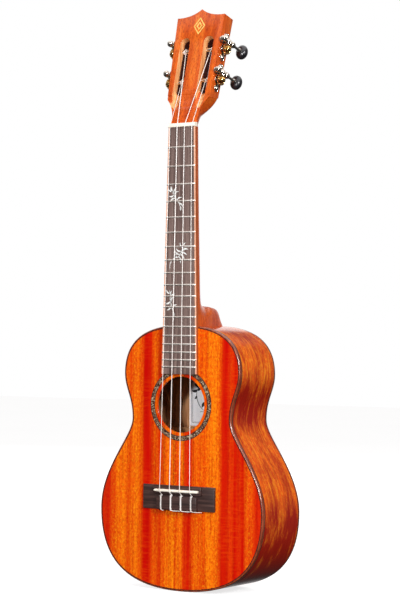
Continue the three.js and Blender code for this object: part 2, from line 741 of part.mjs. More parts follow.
// ---- tuners ----
// The tuner's frame, from which it is mirrored to the left side.
function tunerFrame(side, height) {
  const half = SHOULDER.half + (height - SHOULDER.z) * Math.tan(SIDE_ANGLE);
  const frame = new THREE.Group();
  frame.position.set(side * half, HEAD.thickness / 2, height);
  frame.rotation.y = side * SIDE_ANGLE;
  frame.scale.x = side;
  return frame;
}

function postBore(side, height) {
  const start = new THREE.Vector3(POST_BORE.inner, 0, 0);
  const end = new THREE.Vector3(POST_BORE.outer, 0, 0);
  const bore = rodBetween(start, end, POST.radius + 2 * RUNNING_GAP, 12);
  const frame = tunerFrame(1, height);
  frame.updateMatrix();
  const placed = solidOf(bore.applyMatrix4(frame.matrix));
  return side > 0 ? placed : placed.mirror([1, 0, 0]);
}

// The plate and its two ears, which carry the worm's shaft.
function plateGeometry() {
  const { thickness, half, down, up, tip } = TUNER_PLATE;
  const outline = [
    [-tip, down],
    [tip, down],
    [half, down + 5],
    [half, up - 5],
    [tip, up],
    [-tip, up],
    [-half, up - 5],
    [-half, down + 5],
  ];
  const sheet = plateBetween(outline, GAP, GAP + thickness).rotateZ(-Math.PI / 2);
  const outerEar = EAR.back + EAR.thickness / 2;
  const parts = [sheet];
  parts.push(
    boxBetween([GAP, -outerEar, WORM_Z - EAR.half], [GAP + thickness, outerEar, WORM_Z + EAR.half]),
  );
  for (const y of [EAR.front, EAR.back]) {
    const ear = boxBetween(
      [GAP, y - EAR.thickness / 2, WORM_Z - EAR.half],
      [GEAR_X, y + EAR.thickness / 2, WORM_Z + EAR.half],
    );
    const round = new THREE.CylinderGeometry(EAR.half, EAR.half, EAR.thickness, 12);
    parts.push(ear, round.translate(GEAR_X, y, WORM_Z));
  }
  const shaftHole = rodBetween(
    new THREE.Vector3(GEAR_X, -20, WORM_Z),
    new THREE.Vector3(GEAR_X, 20, WORM_Z),
    WORM.shaft + RUNNING_GAP,
    12,
  );
  const postHole = rodBetween(
    new THREE.Vector3(-5, 0, 0),
    new THREE.Vector3(5, 0, 0),
    POST.radius + 2 * RUNNING_GAP,
    12,
  );
  return geometryOf(
    joined(parts.map(solidOf)).subtract(solidOf(shaftHole)).subtract(solidOf(postHole)),
  );
}

function postGeometry() {
  const profile = [
    [0, POST.innerX],
    [POST.radius, POST.innerX],
    [POST.radius, GEAR.innerX - GAP],
    [POST.stubRadius, GEAR.innerX - GAP],
    [POST.stubRadius, GEAR.innerX + GEAR.thickness],
    [0, GEAR.innerX + GEAR.thickness],
  ];
  const points = profile.map(([radius, along]) => new THREE.Vector2(radius, along));
  return new THREE.LatheGeometry(points, 12).rotateZ(-Math.PI / 2);
}

// The worm wheel. Its teeth slope with the worm's thread, and one points at the worm.
function gearGeometry() {
  const step = (2 * Math.PI) / GEAR.teeth;
  const outline = [];
  for (let tooth = 0; tooth < GEAR.teeth; tooth += 1) {
    for (const [radius, share] of [
      [GEAR.root, -0.27],
      [GEAR.tip, -0.12],
      [GEAR.tip, 0.12],
      [GEAR.root, 0.27],
    ]) {
      const angle = Math.PI / 2 + (tooth + share) * step;
      outline.push(new THREE.Vector2(radius * Math.cos(angle), radius * Math.sin(angle)));
    }
  }
  const shape = new THREE.Shape(outline);
  const hole = circle(POST.stubRadius + GAP, 0, 12).map((point) => new THREE.Vector2(...point));
  shape.holes.push(new THREE.Path(hole));
  const wheel = new THREE.ExtrudeGeometry(shape, { depth: GEAR.thickness, bevelEnabled: false });
  wheel.translate(0, 0, -GEAR.thickness / 2);
  const position = wheel.attributes.position;
  const lead = WORM_PITCH / (2 * Math.PI * WORM.pitchRadius);
  for (let index = 0; index < position.count; index += 1) {
    const turn = (THREAD_HAND * position.getZ(index) * lead) / GEAR.pitch;
    const point = new THREE.Vector2(position.getX(index), position.getY(index));
    point.rotateAround(new THREE.Vector2(0, 0), turn);
    position.setXY(index, point.x, point.y);
  }
  // Its axis turns from Z to X, and the tooth that pointed along Y points along Z.
  return wheel.rotateX(Math.PI / 2).rotateZ(Math.PI / 2).translate(GEAR_X, 0, 0);
}

// The shaft with its worm, along Y. The thread is one spiral ridge.
function wormGeometry() {
  const sides = 10;
  const stepsPerTurn = 6;
  const halfThread = (WORM.turns * WORM_PITCH) / 2;
  const ring = (y, radiusAt) =>
    Array.from({ length: sides }, (_, index) => {
      const angle = (2 * Math.PI * index) / sides;
      const radius = radiusAt(angle);
      return new THREE.Vector3(radius * Math.cos(angle), y, radius * -Math.sin(angle));
    });
  const plain = () => WORM.shaft;
  const rings = [ring(EAR.front - 1.6, plain), ring(-halfThread - 0.3, plain)];
  const steps = WORM.turns * stepsPerTurn;
  for (let step = 0; step <= steps; step += 1) {
    const y = -halfThread + (step * WORM_PITCH) / stepsPerTurn;
    const fade = Math.min(1, Math.min(step, steps - step) / 3);
    rings.push(ring(y, (angle) => threadRadius(y, angle, fade)));
  }
  rings.push(ring(halfThread + 0.3, plain), ring(BUTTON.startY + BUTTON.bore - 1, plain));
  return skinThrough(rings).translate(GEAR_X, 0, WORM_Z);
}

// How far the worm's surface is from its axis. The thread passes half a pitch to each side of
// the tooth that reaches into it.
function threadRadius(y, angle, fade) {
  const towardsGear = Math.PI / 2;
  const turns = y / WORM_PITCH + (THREAD_HAND * (angle - towardsGear)) / (2 * Math.PI) + 0.5;
  const fromCrest = Math.abs(turns - Math.round(turns));
  const rise = THREE.MathUtils.clamp((WORM.foot - fromCrest) / WORM.flank, 0, 1);
  return WORM.root + (WORM.tip - WORM.root) * rise * fade;
}

// The oval button on the end of the shaft.
function buttonGeometry() {
  const { startY, length, halfX, halfZ, bore } = BUTTON;
  const profile = [[0, 0], [2.6, 0]];
  const bulgeSteps = 5;
  for (let step = 1; step < bulgeSteps; step += 1) {
    const angle = (Math.PI * step) / bulgeSteps;
    profile.push([halfZ * Math.sin(angle) ** 0.55, (length * (1 - Math.cos(angle))) / 2]);
  }
  profile.push([2, length], [0, length]);
  const points = profile.map(([radius, along]) => new THREE.Vector2(radius, along));
  const knob = new THREE.LatheGeometry(points, 14).scale(halfX / halfZ, 1, 1);
  const hole = new THREE.CylinderGeometry(WORM.shaft + GAP, WORM.shaft + GAP, 2 * bore, 14);
  const drilled = solidOf(knob).subtract(solidOf(hole));
  return geometryOf(drilled.translate([GEAR_X, startY, WORM_Z]));
}

function gearScrewGeometry() {
  const { radius, height } = GEAR_SCREW;
  const start = GEAR.innerX + GEAR.thickness + GAP;
  const profile = [
    [0, start],
    [radius, start],
    [radius, start + height * 0.4],
    [radius * 0.6, start + height * 0.9],
    [0, start + height],
  ];
  const points = profile.map(([across, along]) => new THREE.Vector2(across, along));
  return new THREE.LatheGeometry(points, 10).rotateZ(-Math.PI / 2);
}

function addTuners() {
  for (const { number, side, height } of TUNERS) {
    const frame = tunerFrame(side, height);
    frame.add(named(`tuner_plate_${number}`, plateGeometry(), NICKEL));
    frame.add(named(`string_post_${number}`, postGeometry(), NICKEL));
    frame.add(named(`worm_gear_${number}`, gearGeometry(), BRASS));
    frame.add(named(`gear_screw_${number}`, gearScrewGeometry(), NICKEL));
    frame.add(named(`worm_shaft_${number}`, wormGeometry(), NICKEL));
    frame.add(named(`tuner_button_${number}`, buttonGeometry(), BLACK_PLASTIC));
    headGroup.add(frame);
  }
}

// ---- strings ----
// A round cord through a few points, with a ring at each.
function cordThrough(points, radius, sides = 8) {
  const rings = points.map((point, index) => {
    const before = points[Math.max(index - 1, 0)];
    const after = points[Math.min(index + 1, points.length - 1)];
    const along = new THREE.Vector3().subVectors(after, before).normalize();
    const across = new THREE.Vector3(1, 0, 0).projectOnPlane(along).normalize();
    const other = new THREE.Vector3().crossVectors(along, across);
    return Array.from({ length: sides }, (_, side) => {
      const angle = (2 * Math.PI * side) / sides;
      return point
        .clone()
        .addScaledVector(across, radius * Math.cos(angle))
        .addScaledVector(other, radius * Math.sin(angle));
    });
  });
  return skinThrough(rings);
}

function addStrings() {
  headGroup.updateMatrix();
  TUNERS.forEach(({ number, side, height }, index) => {
    const radius = STRING_DIAMETERS[index] / 2;
    const saddleX = stringX(index, SADDLE_STRING_SPACING);
    const nutX = stringX(index, NUT_STRING_SPACING);
    const saddleY = -SADDLE.height - radius - GAP;
    const nutY = -NUT_SLOT.floorY - radius - GAP / 2;
    const landing = height === TUNER_HEIGHTS.lower ? POST_LANDING.lower : POST_LANDING.upper;
    const onPost = new THREE.Vector3(
      side * landing,
      HEAD.thickness / 2 - POST.radius - radius - GAP,
      height,
    ).applyMatrix4(headGroup.matrix);
    const points = [
      new THREE.Vector3(saddleX, TIE_HOLE.y, BRIDGE.bottom - 0.6),
      new THREE.Vector3(saddleX, TIE_HOLE.y, TIE_BLOCK.top + 0.2),
      new THREE.Vector3(saddleX, saddleY + 0.5, SADDLE.z - SADDLE.thickness / 2 - 0.2),
      new THREE.Vector3(saddleX, saddleY, SADDLE.z),
      new THREE.Vector3(nutX, nutY, 0),
      new THREE.Vector3(nutX, nutY, NUT_SLOT.edge),
      onPost,
    ];
    ukulele.add(named(`string_${number}`, cordThrough(points, radius), NYLON));
  });
}

addPlates();
addRim(addBraces());
addBridge();
addNeck();
addFretboard();
addNut();
addHeadstock();
addTuners();
ukulele.add(headGroup);
addStrings();

export default ukulele;
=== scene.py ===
"""The finished concert ukulele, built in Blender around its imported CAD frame.

Shapes are worked out in millimetres in the frame's own axes: +X to the right as seen from
the front, +Y back through the body and +Z up the neck. The origin is on the centre line at
the nut's playing edge, in the plane under the fretboard.
"""

import math
import random

import bmesh
import bpy
from mathutils import Matrix, Vector


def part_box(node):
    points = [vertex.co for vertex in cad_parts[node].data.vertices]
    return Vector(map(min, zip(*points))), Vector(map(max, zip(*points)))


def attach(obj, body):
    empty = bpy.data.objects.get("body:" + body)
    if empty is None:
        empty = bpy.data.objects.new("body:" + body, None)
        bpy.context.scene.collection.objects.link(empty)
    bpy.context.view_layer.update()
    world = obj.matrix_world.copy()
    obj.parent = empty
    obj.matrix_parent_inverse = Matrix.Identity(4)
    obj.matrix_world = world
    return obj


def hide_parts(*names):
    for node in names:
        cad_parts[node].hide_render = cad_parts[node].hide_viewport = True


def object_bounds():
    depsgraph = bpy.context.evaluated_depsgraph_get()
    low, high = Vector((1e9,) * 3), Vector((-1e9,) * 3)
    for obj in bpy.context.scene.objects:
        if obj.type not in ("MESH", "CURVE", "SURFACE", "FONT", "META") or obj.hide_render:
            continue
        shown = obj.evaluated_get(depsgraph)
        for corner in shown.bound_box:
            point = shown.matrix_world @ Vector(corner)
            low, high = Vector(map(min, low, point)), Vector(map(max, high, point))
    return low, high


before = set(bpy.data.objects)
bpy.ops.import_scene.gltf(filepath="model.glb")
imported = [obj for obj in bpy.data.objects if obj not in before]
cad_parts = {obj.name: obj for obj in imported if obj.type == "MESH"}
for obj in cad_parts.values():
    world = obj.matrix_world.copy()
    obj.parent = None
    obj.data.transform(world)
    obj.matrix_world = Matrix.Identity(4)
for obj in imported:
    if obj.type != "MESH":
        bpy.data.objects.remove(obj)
cad_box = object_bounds()

MM = 0.001
BODY = "instrument"

# ---- driving dimensions, in millimetres, as in the CAD source ----
SCALE_LENGTH = 380
FRET_COUNT = 19
NUT_STRING_SPACING = 9.2
SADDLE_STRING_SPACING = 12.6
STRING_DIAMETERS = (0.62, 0.9, 0.8, 0.66)
STRING_GAP = 0.05  # between a string and what it rests on

TAIL_Z = -488.4
NECK_END_Z = -208.8
NECK_END_DEPTH = 70
TAIL_DEPTH = 77
# The right half of the body's outline: cubic curves, each as start, two handles and end
OUTLINE = (
    ((0, TAIL_Z), (64.8, TAIL_Z), (102.6, -464.4), (102.6, -404.4)),
    ((102.6, -404.4), (102.6, -361.7), (62.4, -327.8), (62.4, -308.6)),
    ((62.4, -308.6), (62.4, -285.9), (73.2, -277.3), (73.2, -259.6)),
    ((73.2, -259.6), (73.2, -231.6), (56.2, NECK_END_Z), (0, NECK_END_Z)),
)
CURVE_STEPS = 26
PLATE = 2
SIDE = 1.6
FRONT_BINDING = 3.6
BACK_BINDING = 2.6
PURFLING = 0.85
LINE_INSET = SIDE + PURFLING
EDGE_RADIUS = 1.3
SOUNDHOLE_Z = -292.6
SOUNDHOLE_RADIUS = 29.5
ROSETTE_INNER = 33
ROSETTE_OUTER = 38.3
ROSETTE_LINE = 0.6

NUT_WIDTH = 33.4
BOARD_END_WIDTH = 44
BOARD_END_Z = -260.5
BOARD_THICKNESS = 4.5
BOARD_BINDING = 1.5
NUT_LENGTH = 4.5
NUT_HEIGHT = 6.4
NUT_SLOT_Y = -5.9

BRIDGE_HALF = 45
BRIDGE_TOP = -377.6
BRIDGE_BOTTOM = -403.1
BRIDGE_WING = 2.8
BED_HALF = 30
BED_HEIGHT = 6
TIE_HALF = 25
TIE_TOP = -388.6
TIE_HEIGHT = 7
SADDLE_HALF = 27.5
SADDLE_Z = -383
SADDLE_HEIGHT = 9.6
SADDLE_THICKNESS = 3
TIE_HOLE_Y = -4.3

HEAD_TILT = math.radians(14.5)
HEAD_THICKNESS = 17.5
HEAD_APEX = 132.5
HEAD_CORNER = (30.1, 124.4)
SHOULDER = (26.7, 30)
SHOULDER_NECK_Z = 11
SHOULDER_LIFT = 4
SLOT_INNER = 9
SLOT_OUTER = 21
SLOT_BOTTOM = 36
SLOT_TOP = 100
HEAD_FRAME = Matrix.Translation((0, -1, 2.7)) @ Matrix.Rotation(-HEAD_TILT, 4, "X")
SIDE_ANGLE = math.atan((HEAD_CORNER[0] - SHOULDER[0]) / (HEAD_CORNER[1] - SHOULDER[1]))

TUNERS = ((1, -1, 52), (2, -1, 87), (3, 1, 87), (4, 1, 52))  # number, side, height
POST_RADIUS = 2.9
POST_BORE = POST_RADIUS + 0.16
POST_WAIST = POST_RADIUS - 0.35
POST_INNER = -21.5
STUB_RADIUS = 1.9
POST_LANDING = {52: 15.2, 87: 16}
GEAR_TEETH = 14
GEAR_TIP = 5.95
GEAR_ROOT = 4.85
GEAR_PITCH = 5.5
GEAR_INNER_X = 3.3
GEAR_THICKNESS = 3.4
GEAR_X = GEAR_INNER_X + GEAR_THICKNESS / 2
WORM_ROOT = 2.2
WORM_TIP = 3.3
WORM_PITCH_RADIUS = 2.8
WORM_TURNS = 3
WORM_PITCH = 2 * math.pi * GEAR_PITCH / GEAR_TEETH
WORM_Z = GEAR_PITCH + WORM_PITCH_RADIUS
SHAFT_RADIUS = 1.4
BUTTON_START = 24
BUTTON_LENGTH = 9.6
BUTTON_HALF_X = 6.8
BUTTON_HALF_Z = 8


# ---- camera, at the angle the instrument is seen from ----
CAMERA_ANGLES = (33.234, -1.64, 0.67)  # azimuth, pitch and roll, in degrees
CAMERA_PLACE = (1.0550, -1.5755, -0.2366)  # in metres
CAMERA_LENS = 108
CAMERA_SENSOR = 36


def add_camera():
    azimuth, pitch, roll = (math.radians(angle) for angle in CAMERA_ANGLES)
    level = math.cos(pitch)
    back = Vector((math.sin(azimuth) * level, -math.cos(azimuth) * level, math.sin(pitch)))
    right = Vector((math.cos(azimuth), math.sin(azimuth), 0))
    up = back.cross(right)
    side = right * math.cos(roll) + up * math.sin(roll)
    top = up * math.cos(roll) - right * math.sin(roll)
    data = bpy.data.cameras.new("camera")
    data.lens = CAMERA_LENS
    data.sensor_width = CAMERA_SENSOR
    camera = bpy.data.objects.new("camera", data)
    matrix = Matrix((side, top, back)).transposed().to_4x4()
    matrix.translation = CAMERA_PLACE
    camera.matrix_world = matrix
    bpy.context.scene.collection.objects.link(camera)
    bpy.context.scene.camera = camera


# ---- materials ----
class Finish:
    """A material whose nodes are added one at a time. Textures lie in the frame's axes."""

    def __init__(self, name, **sockets):
        self.material = bpy.data.materials.new(name)
        self.material.use_nodes = True
        self.tree = self.material.node_tree
        self.shader = self.tree.nodes["Principled BSDF"]
        self.set(**sockets)

    def set(self, **sockets):
        for name, value in sockets.items():
            self.put(self.shader.inputs[name.replace("_", " ")], value)

    def put(self, socket, value):
        if isinstance(value, bpy.types.NodeSocket):
            self.tree.links.new(value, socket)
        else:
            socket.default_value = value

    def add(self, kind, inputs, **settings):
        node = self.tree.nodes.new("ShaderNode" + kind)
        for name, value in settings.items():
            setattr(node, name, value)
        for key, value in inputs.items():
            self.put(node.inputs[key], value)
        return node

    def coordinates(self, scale, turn=(0, 0, 0)):
        place = self.add("TexCoord", {}).outputs["Object"]
        inputs = {"Vector": place, "Scale": scale, "Rotation": turn}
        return self.add("Mapping", inputs).outputs["Vector"]

    def noise(self, scale, detail=4, roughness=0.6, distortion=0, turn=(0, 0, 0)):
        inputs = {"Vector": self.coordinates(scale, turn), "Scale": 1}
        inputs |= {"Detail": detail, "Roughness": roughness, "Distortion": distortion}
        return self.add("TexNoise", inputs).outputs["Fac"]

    def ramp(self, value, stops):
        node = self.add("ValToRGB", {"Fac": value})
        elements = node.color_ramp.elements
        while len(elements) < len(stops):
            elements.new(1)
        for element, (position, color) in zip(elements, stops):
            element.position = position
            element.color = (*linear(color), 1)
        return node.outputs["Color"]

    def levels(self, value, low, high, start=0, end=1):
        inputs = {"Value": value, "From Min": low, "From Max": high, "To Min": start, "To Max": end}
        return self.add("MapRange", inputs).outputs["Result"]

    def math(self, operation, first, second=0.0):
        return self.add("Math", {0: first, 1: second}, operation=operation).outputs[0]

    def times(self, product, *factors):
        for factor in factors:
            product = self.math("MULTIPLY", product, factor)
        return product

    def axis(self, name, turn=(0, 0, 0)):
        """The place along one of the frame's axes, in metres."""
        return self.add("SeparateXYZ", {0: self.coordinates((1, 1, 1), turn)}).outputs[name]

    def patches(self, scale, low, high, *rest, **more):
        """Noise stretched by a scale, from 0 below one level to 1 above another."""
        return self.levels(self.noise(scale, *rest, **more), low, high)

    def stain(self, color, pattern, strength, shade):
        """The colour with a shade laid on it where a pattern is, at some strength."""
        return self.mix(self.times(pattern, strength), color, shade)

    def mix(self, factor, first, second, blend="MIX"):
        node = self.add("Mix", {0: factor}, data_type="RGBA", blend_type=blend)
        self.put(node.inputs[6], colour(first))
        self.put(node.inputs[7], colour(second))
        return node.outputs[2]

    def bump(self, height, distance, strength=1.0):
        node = self.add("Bump", {"Height": height, "Distance": distance * MM, "Strength": strength})
        self.put(self.shader.inputs["Normal"], node.outputs["Normal"])
        return self


def linear(color):
    """0 to 255 screen values as linear light."""
    return tuple(c / 255 / 12.92 if c <= 10 else ((c / 255 + 0.055) / 1.055) ** 2.4 for c in color)


def colour(value):
    return (*linear(value), 1) if isinstance(value, tuple) else value


STRIPE_REACH = 100
MIRRORED_STRIPE = 46  # the back's joint shows the stripes this far left of the middle
# Stripes across the soundboard: place on the X axis in mm, and screen colour
STRIPES = (
    (-100, (206, 40, 6)),
    (-90, (200, 24, 4)),
    (-80, (238, 100, 6)),
    (-71, (240, 100, 6)),
    (-64, (214, 56, 2)),
    (-57, (240, 104, 8)),
    (-51, (228, 82, 4)),
    (-44, (196, 6, 0)),
    (-39, (196, 4, 0)),
    (-36, (206, 26, 0)),
    (-31, (226, 76, 3)),
    (-25, (206, 38, 2)),
    (-18, (228, 80, 4)),
    (-12, (242, 108, 8)),
    (-7, (244, 112, 8)),
    (-4, (222, 62, 2)),
    (0, (248, 112, 10)),
    (6, (212, 38, 2)),
    (12, (202, 18, 0)),
    (20, (232, 86, 5)),
    (31, (230, 78, 3)),
    (36, (242, 108, 6)),
    (44, (245, 110, 7)),
    (52, (205, 20, 2)),
    (57, (197, 3, 0)),
    (63, (219, 46, 4)),
    (68, (201, 9, 0)),
    (73, (212, 34, 2)),
    (78, (197, 7, 0)),
    (84, (234, 84, 8)),
    (92, (210, 30, 4)),
)


def ribbon_wood(name, matched=False, tint=(255, 255, 255), **sockets):
    """Ribbon striped wood. A matched back repeats one half's stripes as the other's mirror."""
    wood = Finish(name, **sockets)
    drift = wood.noise((9, 9, 3.2), 2)
    place = wood.axis("X")
    if matched:
        place = wood.math("SUBTRACT", wood.math("ABSOLUTE", place), MIRRORED_STRIPE * MM)
    drifting = wood.math("ADD", place, wood.levels(drift, 0.3, 0.7, -0.0024, 0.0024))
    fraction = wood.levels(drifting, -STRIPE_REACH * MM, STRIPE_REACH * MM)
    stops = [((x + STRIPE_REACH) / (2 * STRIPE_REACH), shade) for x, shade in STRIPES]
    color = wood.ramp(fraction, stops)
    green = wood.add("SeparateColor", {0: color}).outputs["Green"]
    orange = wood.levels(green, 0.004, 0.11)
    # Long streaks, golden fleck in the orange ribbons, dark pores, and a faint cross figure
    streak = wood.patches((420, 420, 6), 0.42, 0.66, 5)
    color = wood.stain(color, wood.patches((64, 64, 4.5), 0.48, 0.6, 3), 0.5, (208, 34, 0))
    color = wood.stain(color, wood.times(streak, orange), 0.5, (255, 158, 10))
    color = wood.stain(color, wood.patches((260, 260, 9), 0.48, 0.66, 5), 0.62, (176, 2, 0))
    fleck = wood.patches((470, 470, 330), 0.5, 0.62, 3, 0.7)
    color = wood.stain(color, wood.times(fleck, orange), 0.5, (255, 168, 24))
    speck = wood.patches((500, 500, 300), 0.5, 0.62, 3, 0.7, turn=(0, 0, 0.5))
    color = wood.stain(color, speck, 0.5, (184, 14, 0))
    ripple = wood.patches((55, 55, 420), 0.46, 0.62, 3)
    patch = wood.patches((26, 26, 14), 0.44, 0.6, 2)
    color = wood.stain(color, wood.times(ripple, patch), 0.42, (226, 66, 2))
    wood.set(Base_Color=wood.mix(1.0, color, tint, "MULTIPLY"))
    return wood.bump(streak, 0.02, 0.2).material


# How bright the sides are from the tail up to the neck, with painted shade darkening them towards the
# tail below the figure's brighter bands: share of the way, and grey level
SIDE_SHADE_AND_FIGURE = (
    (0.0, 20),
    (0.18, 50),
    (0.27, 110),
    (0.36, 215),
    (0.54, 215),
    (0.65, 122),
    (0.72, 130),
    (0.82, 245),
    (1.0, 190),
)


def side_wood():
    """Figured wood whose brightness comes and goes along the bend, with painted shade darkening it
    towards the tail, and streaks at steady depths.
    """
    wood = Finish("side_wood", Roughness=0.14, Specular_IOR_Level=0.28)
    stops = [(share, (grey, grey, grey)) for share, grey in SIDE_SHADE_AND_FIGURE]
    # Painted shade: the sides grow dark red towards the tail, under the figure's brighter bands
    shade_and_figure = wood.ramp(wood.levels(wood.axis("Z"), -0.49, -0.2), stops)
    cloud = wood.levels(wood.noise((26, 100, 26), 4, 0.65, 0.5), 0.36, 0.64, -0.5, 0.36)
    amount = wood.add("Math", {0: shade_and_figure, 1: cloud}, operation="ADD", use_clamp=True).outputs[0]
    color = wood.mix(amount, (158, 22, 2), (240, 96, 10))
    color = wood.stain(color, wood.patches((16, 430, 16), 0.44, 0.66, 5, 0.65), 0.55, (170, 38, 4))
    light = wood.patches((20, 360, 20), 0.5, 0.68, 5, 0.65, turn=(0, 0, 0.2))
    color = wood.stain(color, wood.times(light, amount), 0.8, (255, 160, 30))
    fleck = wood.patches((210, 420, 210), 0.5, 0.6, 3, 0.7)
    color = wood.stain(color, wood.times(fleck, amount), 0.5, (255, 156, 30))
    pore = wood.patches((260, 900, 260), 0.56, 0.7, 3)
    wood.set(Base_Color=wood.stain(color, pore, 0.4, (128, 20, 0)))
    return wood.bump(pore, -0.02, 0.3).material


def neck_wood():
    wood = Finish("neck_wood", Roughness=0.26, Specular_IOR_Level=0.35)
    shades = ((0.3, (176, 60, 12)), (0.45, (204, 82, 18)), (0.58, (222, 100, 26)), (0.75, (236, 128, 44)))
    color = wood.ramp(wood.noise((130, 60, 9), 6, 0.6, 0.2), shades)
    color = wood.stain(color, wood.patches((520, 520, 34), 0.48, 0.66, 5, 0.7), 0.6, (160, 52, 10))
    pore = wood.patches((1100, 1100, 80), 0.54, 0.66, 2)
    wood.set(Base_Color=wood.stain(color, pore, 0.6, (120, 34, 4)))
    return wood.bump(pore, -0.03, 0.3).material


def raw_wood():
    wood = Finish("raw_wood", Roughness=0.8, Specular_IOR_Level=0.2)
    shades = ((0.3, (150, 96, 60)), (0.5, (202, 148, 104)), (0.7, (222, 174, 132)))
    wood.set(Base_Color=wood.ramp(wood.noise((160, 160, 12), 5), shades))
    return wood.bump(wood.noise((900, 900, 60), 3), 0.05, 0.5).material


def bare_wood():
    """The neck's wood where it is cut and left without stain, with painted shade darkening it deep in the
    slots.
    """
    wood = Finish("bare_wood", Roughness=0.55, Specular_IOR_Level=0.2)
    shades = ((0.35, (206, 128, 70)), (0.5, (232, 164, 106)), (0.65, (244, 190, 134)))
    color = wood.ramp(wood.noise((420, 420, 26), 5, 0.65), shades)
    # Painted shade: dark brown from about 6 mm deep into the slots to their back
    deep_slot_shade = wood.levels(wood.axis("Y", (HEAD_TILT, 0, 0)), 0.0055, 0.0072)
    wood.set(Base_Color=wood.mix(deep_slot_shade, color, (92, 40, 32)))
    return wood.bump(wood.noise((900, 900, 70), 3), 0.03, 0.4).material


def dark_wood(name, low, middle, high, stretch, roughness, **sockets):
    """Fine streaks along the grain, with open dark pores."""
    wood = Finish(name, Roughness=roughness, **sockets)
    shades = ((0.32, low), (0.5, middle), (0.68, high))
    color = wood.ramp(wood.noise(stretch, 6, 0.7, 0.2), shades)
    pore = wood.patches(tuple(s * 5 for s in stretch), 0.58, 0.7, 2)
    wood.set(Base_Color=wood.stain(color, pore, 0.5, low))
    return wood.bump(pore, -0.05, 0.4).material


def edging_wood():
    """One wood as a lit and a shaded copy: a painted highlight, pale, on the top face, and painted shade,
    brown, down the side, told apart by depth.
    """
    wood = Finish("edging_wood", Roughness=0.3, Specular_IOR_Level=0.35)
    # Painted light: the top 0.5 mm is the lit copy, everything deeper the shaded one
    painted_side_shade = wood.levels(wood.axis("Y"), -0.0040, -0.0036)
    grain = wood.patches((300, 300, 14), 0.35, 0.65, 4)
    # The painted highlight on the top face (light) and the painted shade down the side (brown)
    light = wood.mix(grain, (222, 162, 132), (240, 186, 156))
    brown = wood.mix(grain, (150, 68, 26), (186, 92, 42))
    wood.set(Base_Color=wood.mix(painted_side_shade, light, brown))
    return wood.bump(grain, 0.02, 0.3).material


def pale(name, first, second, stretch, **sockets):
    """A nearly plain surface with a little cloudy or streaky variation."""
    finish = Finish(name, **sockets)
    tint = finish.patches(stretch, 0.35, 0.65, 3)
    finish.set(Base_Color=finish.mix(tint, first, second))
    return finish.bump(finish.noise(tuple(s * 3 for s in stretch), 3), 0.02, 0.3).material


def metal(name, first, second, roughness):
    finish = Finish(name, Metallic=1.0)
    cloud = finish.patches((260, 260, 260), 0.35, 0.65, 4)
    finish.set(Base_Color=finish.mix(cloud, first, second))
    finish.set(Roughness=finish.levels(cloud, 0, 1, roughness, roughness + 0.08))
    return finish.bump(finish.noise((900, 900, 900), 2), 0.005, 0.2).material


def pearl(name, low, middle, high):
    """Shell: bright cloudy layers whose colour shifts from place to place."""
    finish = Finish(name, Roughness=0.16, Coat_Weight=0.5)
    layers = finish.noise((500, 500, 900), 4, 0.6, 2.5)
    finish.set(Base_Color=finish.ramp(layers, ((0.3, low), (0.5, middle), (0.7, high))))
    return finish.bump(layers, 0.02, 0.3).material


def crushed_shell():
    """Small brown and grey shell pieces set in dark resin, a few of them bright."""
    finish = Finish("rosette_crushed_shell", Roughness=0.2, Coat_Weight=0.3)
    grid = {"Vector": finish.coordinates((900, 900, 900)), "Scale": 1}
    cells = finish.add("TexVoronoi", grid).outputs
    pick = finish.add("SeparateColor", {0: cells["Color"]}).outputs["Red"]
    shades = (
        (0.0, (46, 26, 18)),
        (0.4, (84, 54, 40)),
        (0.65, (118, 92, 76)),
        (0.85, (140, 118, 92)),
        (0.97, (196, 180, 150)),
    )
    finish.set(Base_Color=finish.ramp(pick, shades))
    return finish.bump(cells["Distance"], 0.03, 0.3).material


def paper_finish():
    finish = Finish("label_paper", Roughness=0.85, Specular_IOR_Level=0.2)
    fibre = finish.patches((700, 700, 700), 0.3, 0.7, 4)
    finish.set(Base_Color=finish.mix(fibre, (236, 238, 246), (250, 250, 252)))
    return finish.bump(fibre, 0.02, 0.4).material


SOUNDBOARD = ribbon_wood("soundboard_wood", Roughness=0.18, Specular_IOR_Level=0.14)
BACK_WOOD = ribbon_wood("back_wood", True, (222, 196, 176), Roughness=0.16, Specular_IOR_Level=0.45)
SIDE_WOOD = side_wood()
NECK_WOOD = neck_wood()
BARE_WOOD = bare_wood()
RAW_WOOD = raw_wood()
BINDING = dark_wood(
    "binding_wood",
    (78, 27, 11),
    (132, 56, 28),
    (168, 84, 48),
    (300, 300, 20),
    0.26,
    Specular_IOR_Level=0.6,
    Coat_Weight=0.5,
    Coat_Roughness=0.22,
)
LINE_WOOD = dark_wood("line_wood", (20, 5, 2), (38, 12, 6), (56, 20, 10), (300, 300, 30), 0.3)
ROSEWOOD = dark_wood(
    "fretboard_rosewood", (62, 44, 40), (112, 90, 84), (146, 124, 116), (420, 420, 9), 0.45
)
BRIDGE_WOOD = dark_wood(
    "bridge_rosewood", (26, 14, 12), (62, 40, 36), (92, 66, 60), (14, 300, 420), 0.42
)
EDGING = edging_wood()
BONE = pale("bone", (244, 232, 214), (252, 246, 234), (240, 240, 240), Roughness=0.3)
NYLON = pale("nylon", (236, 226, 220), (250, 244, 240), (300, 300, 60), Roughness=0.22, Coat_Weight=0.4)
BLACK = pale(
    "button_plastic", (14, 14, 18), (30, 30, 36), (160, 160, 160), Roughness=0.34, Coat_Weight=0.5
)
INK = pale("ink", (24, 24, 28), (40, 40, 46), (300, 300, 300), Roughness=0.7)
PAPER = paper_finish()
NICKEL = metal("nickel", (196, 188, 176), (226, 220, 210), 0.05)
FRET_METAL = metal("fret_nickel", (226, 218, 210), (246, 240, 234), 0.36)
GOLD_LINE = pale(
    "gold_line", (236, 188, 84), (252, 224, 130), (300, 300, 300), Roughness=0.3, Metallic=0.2
)
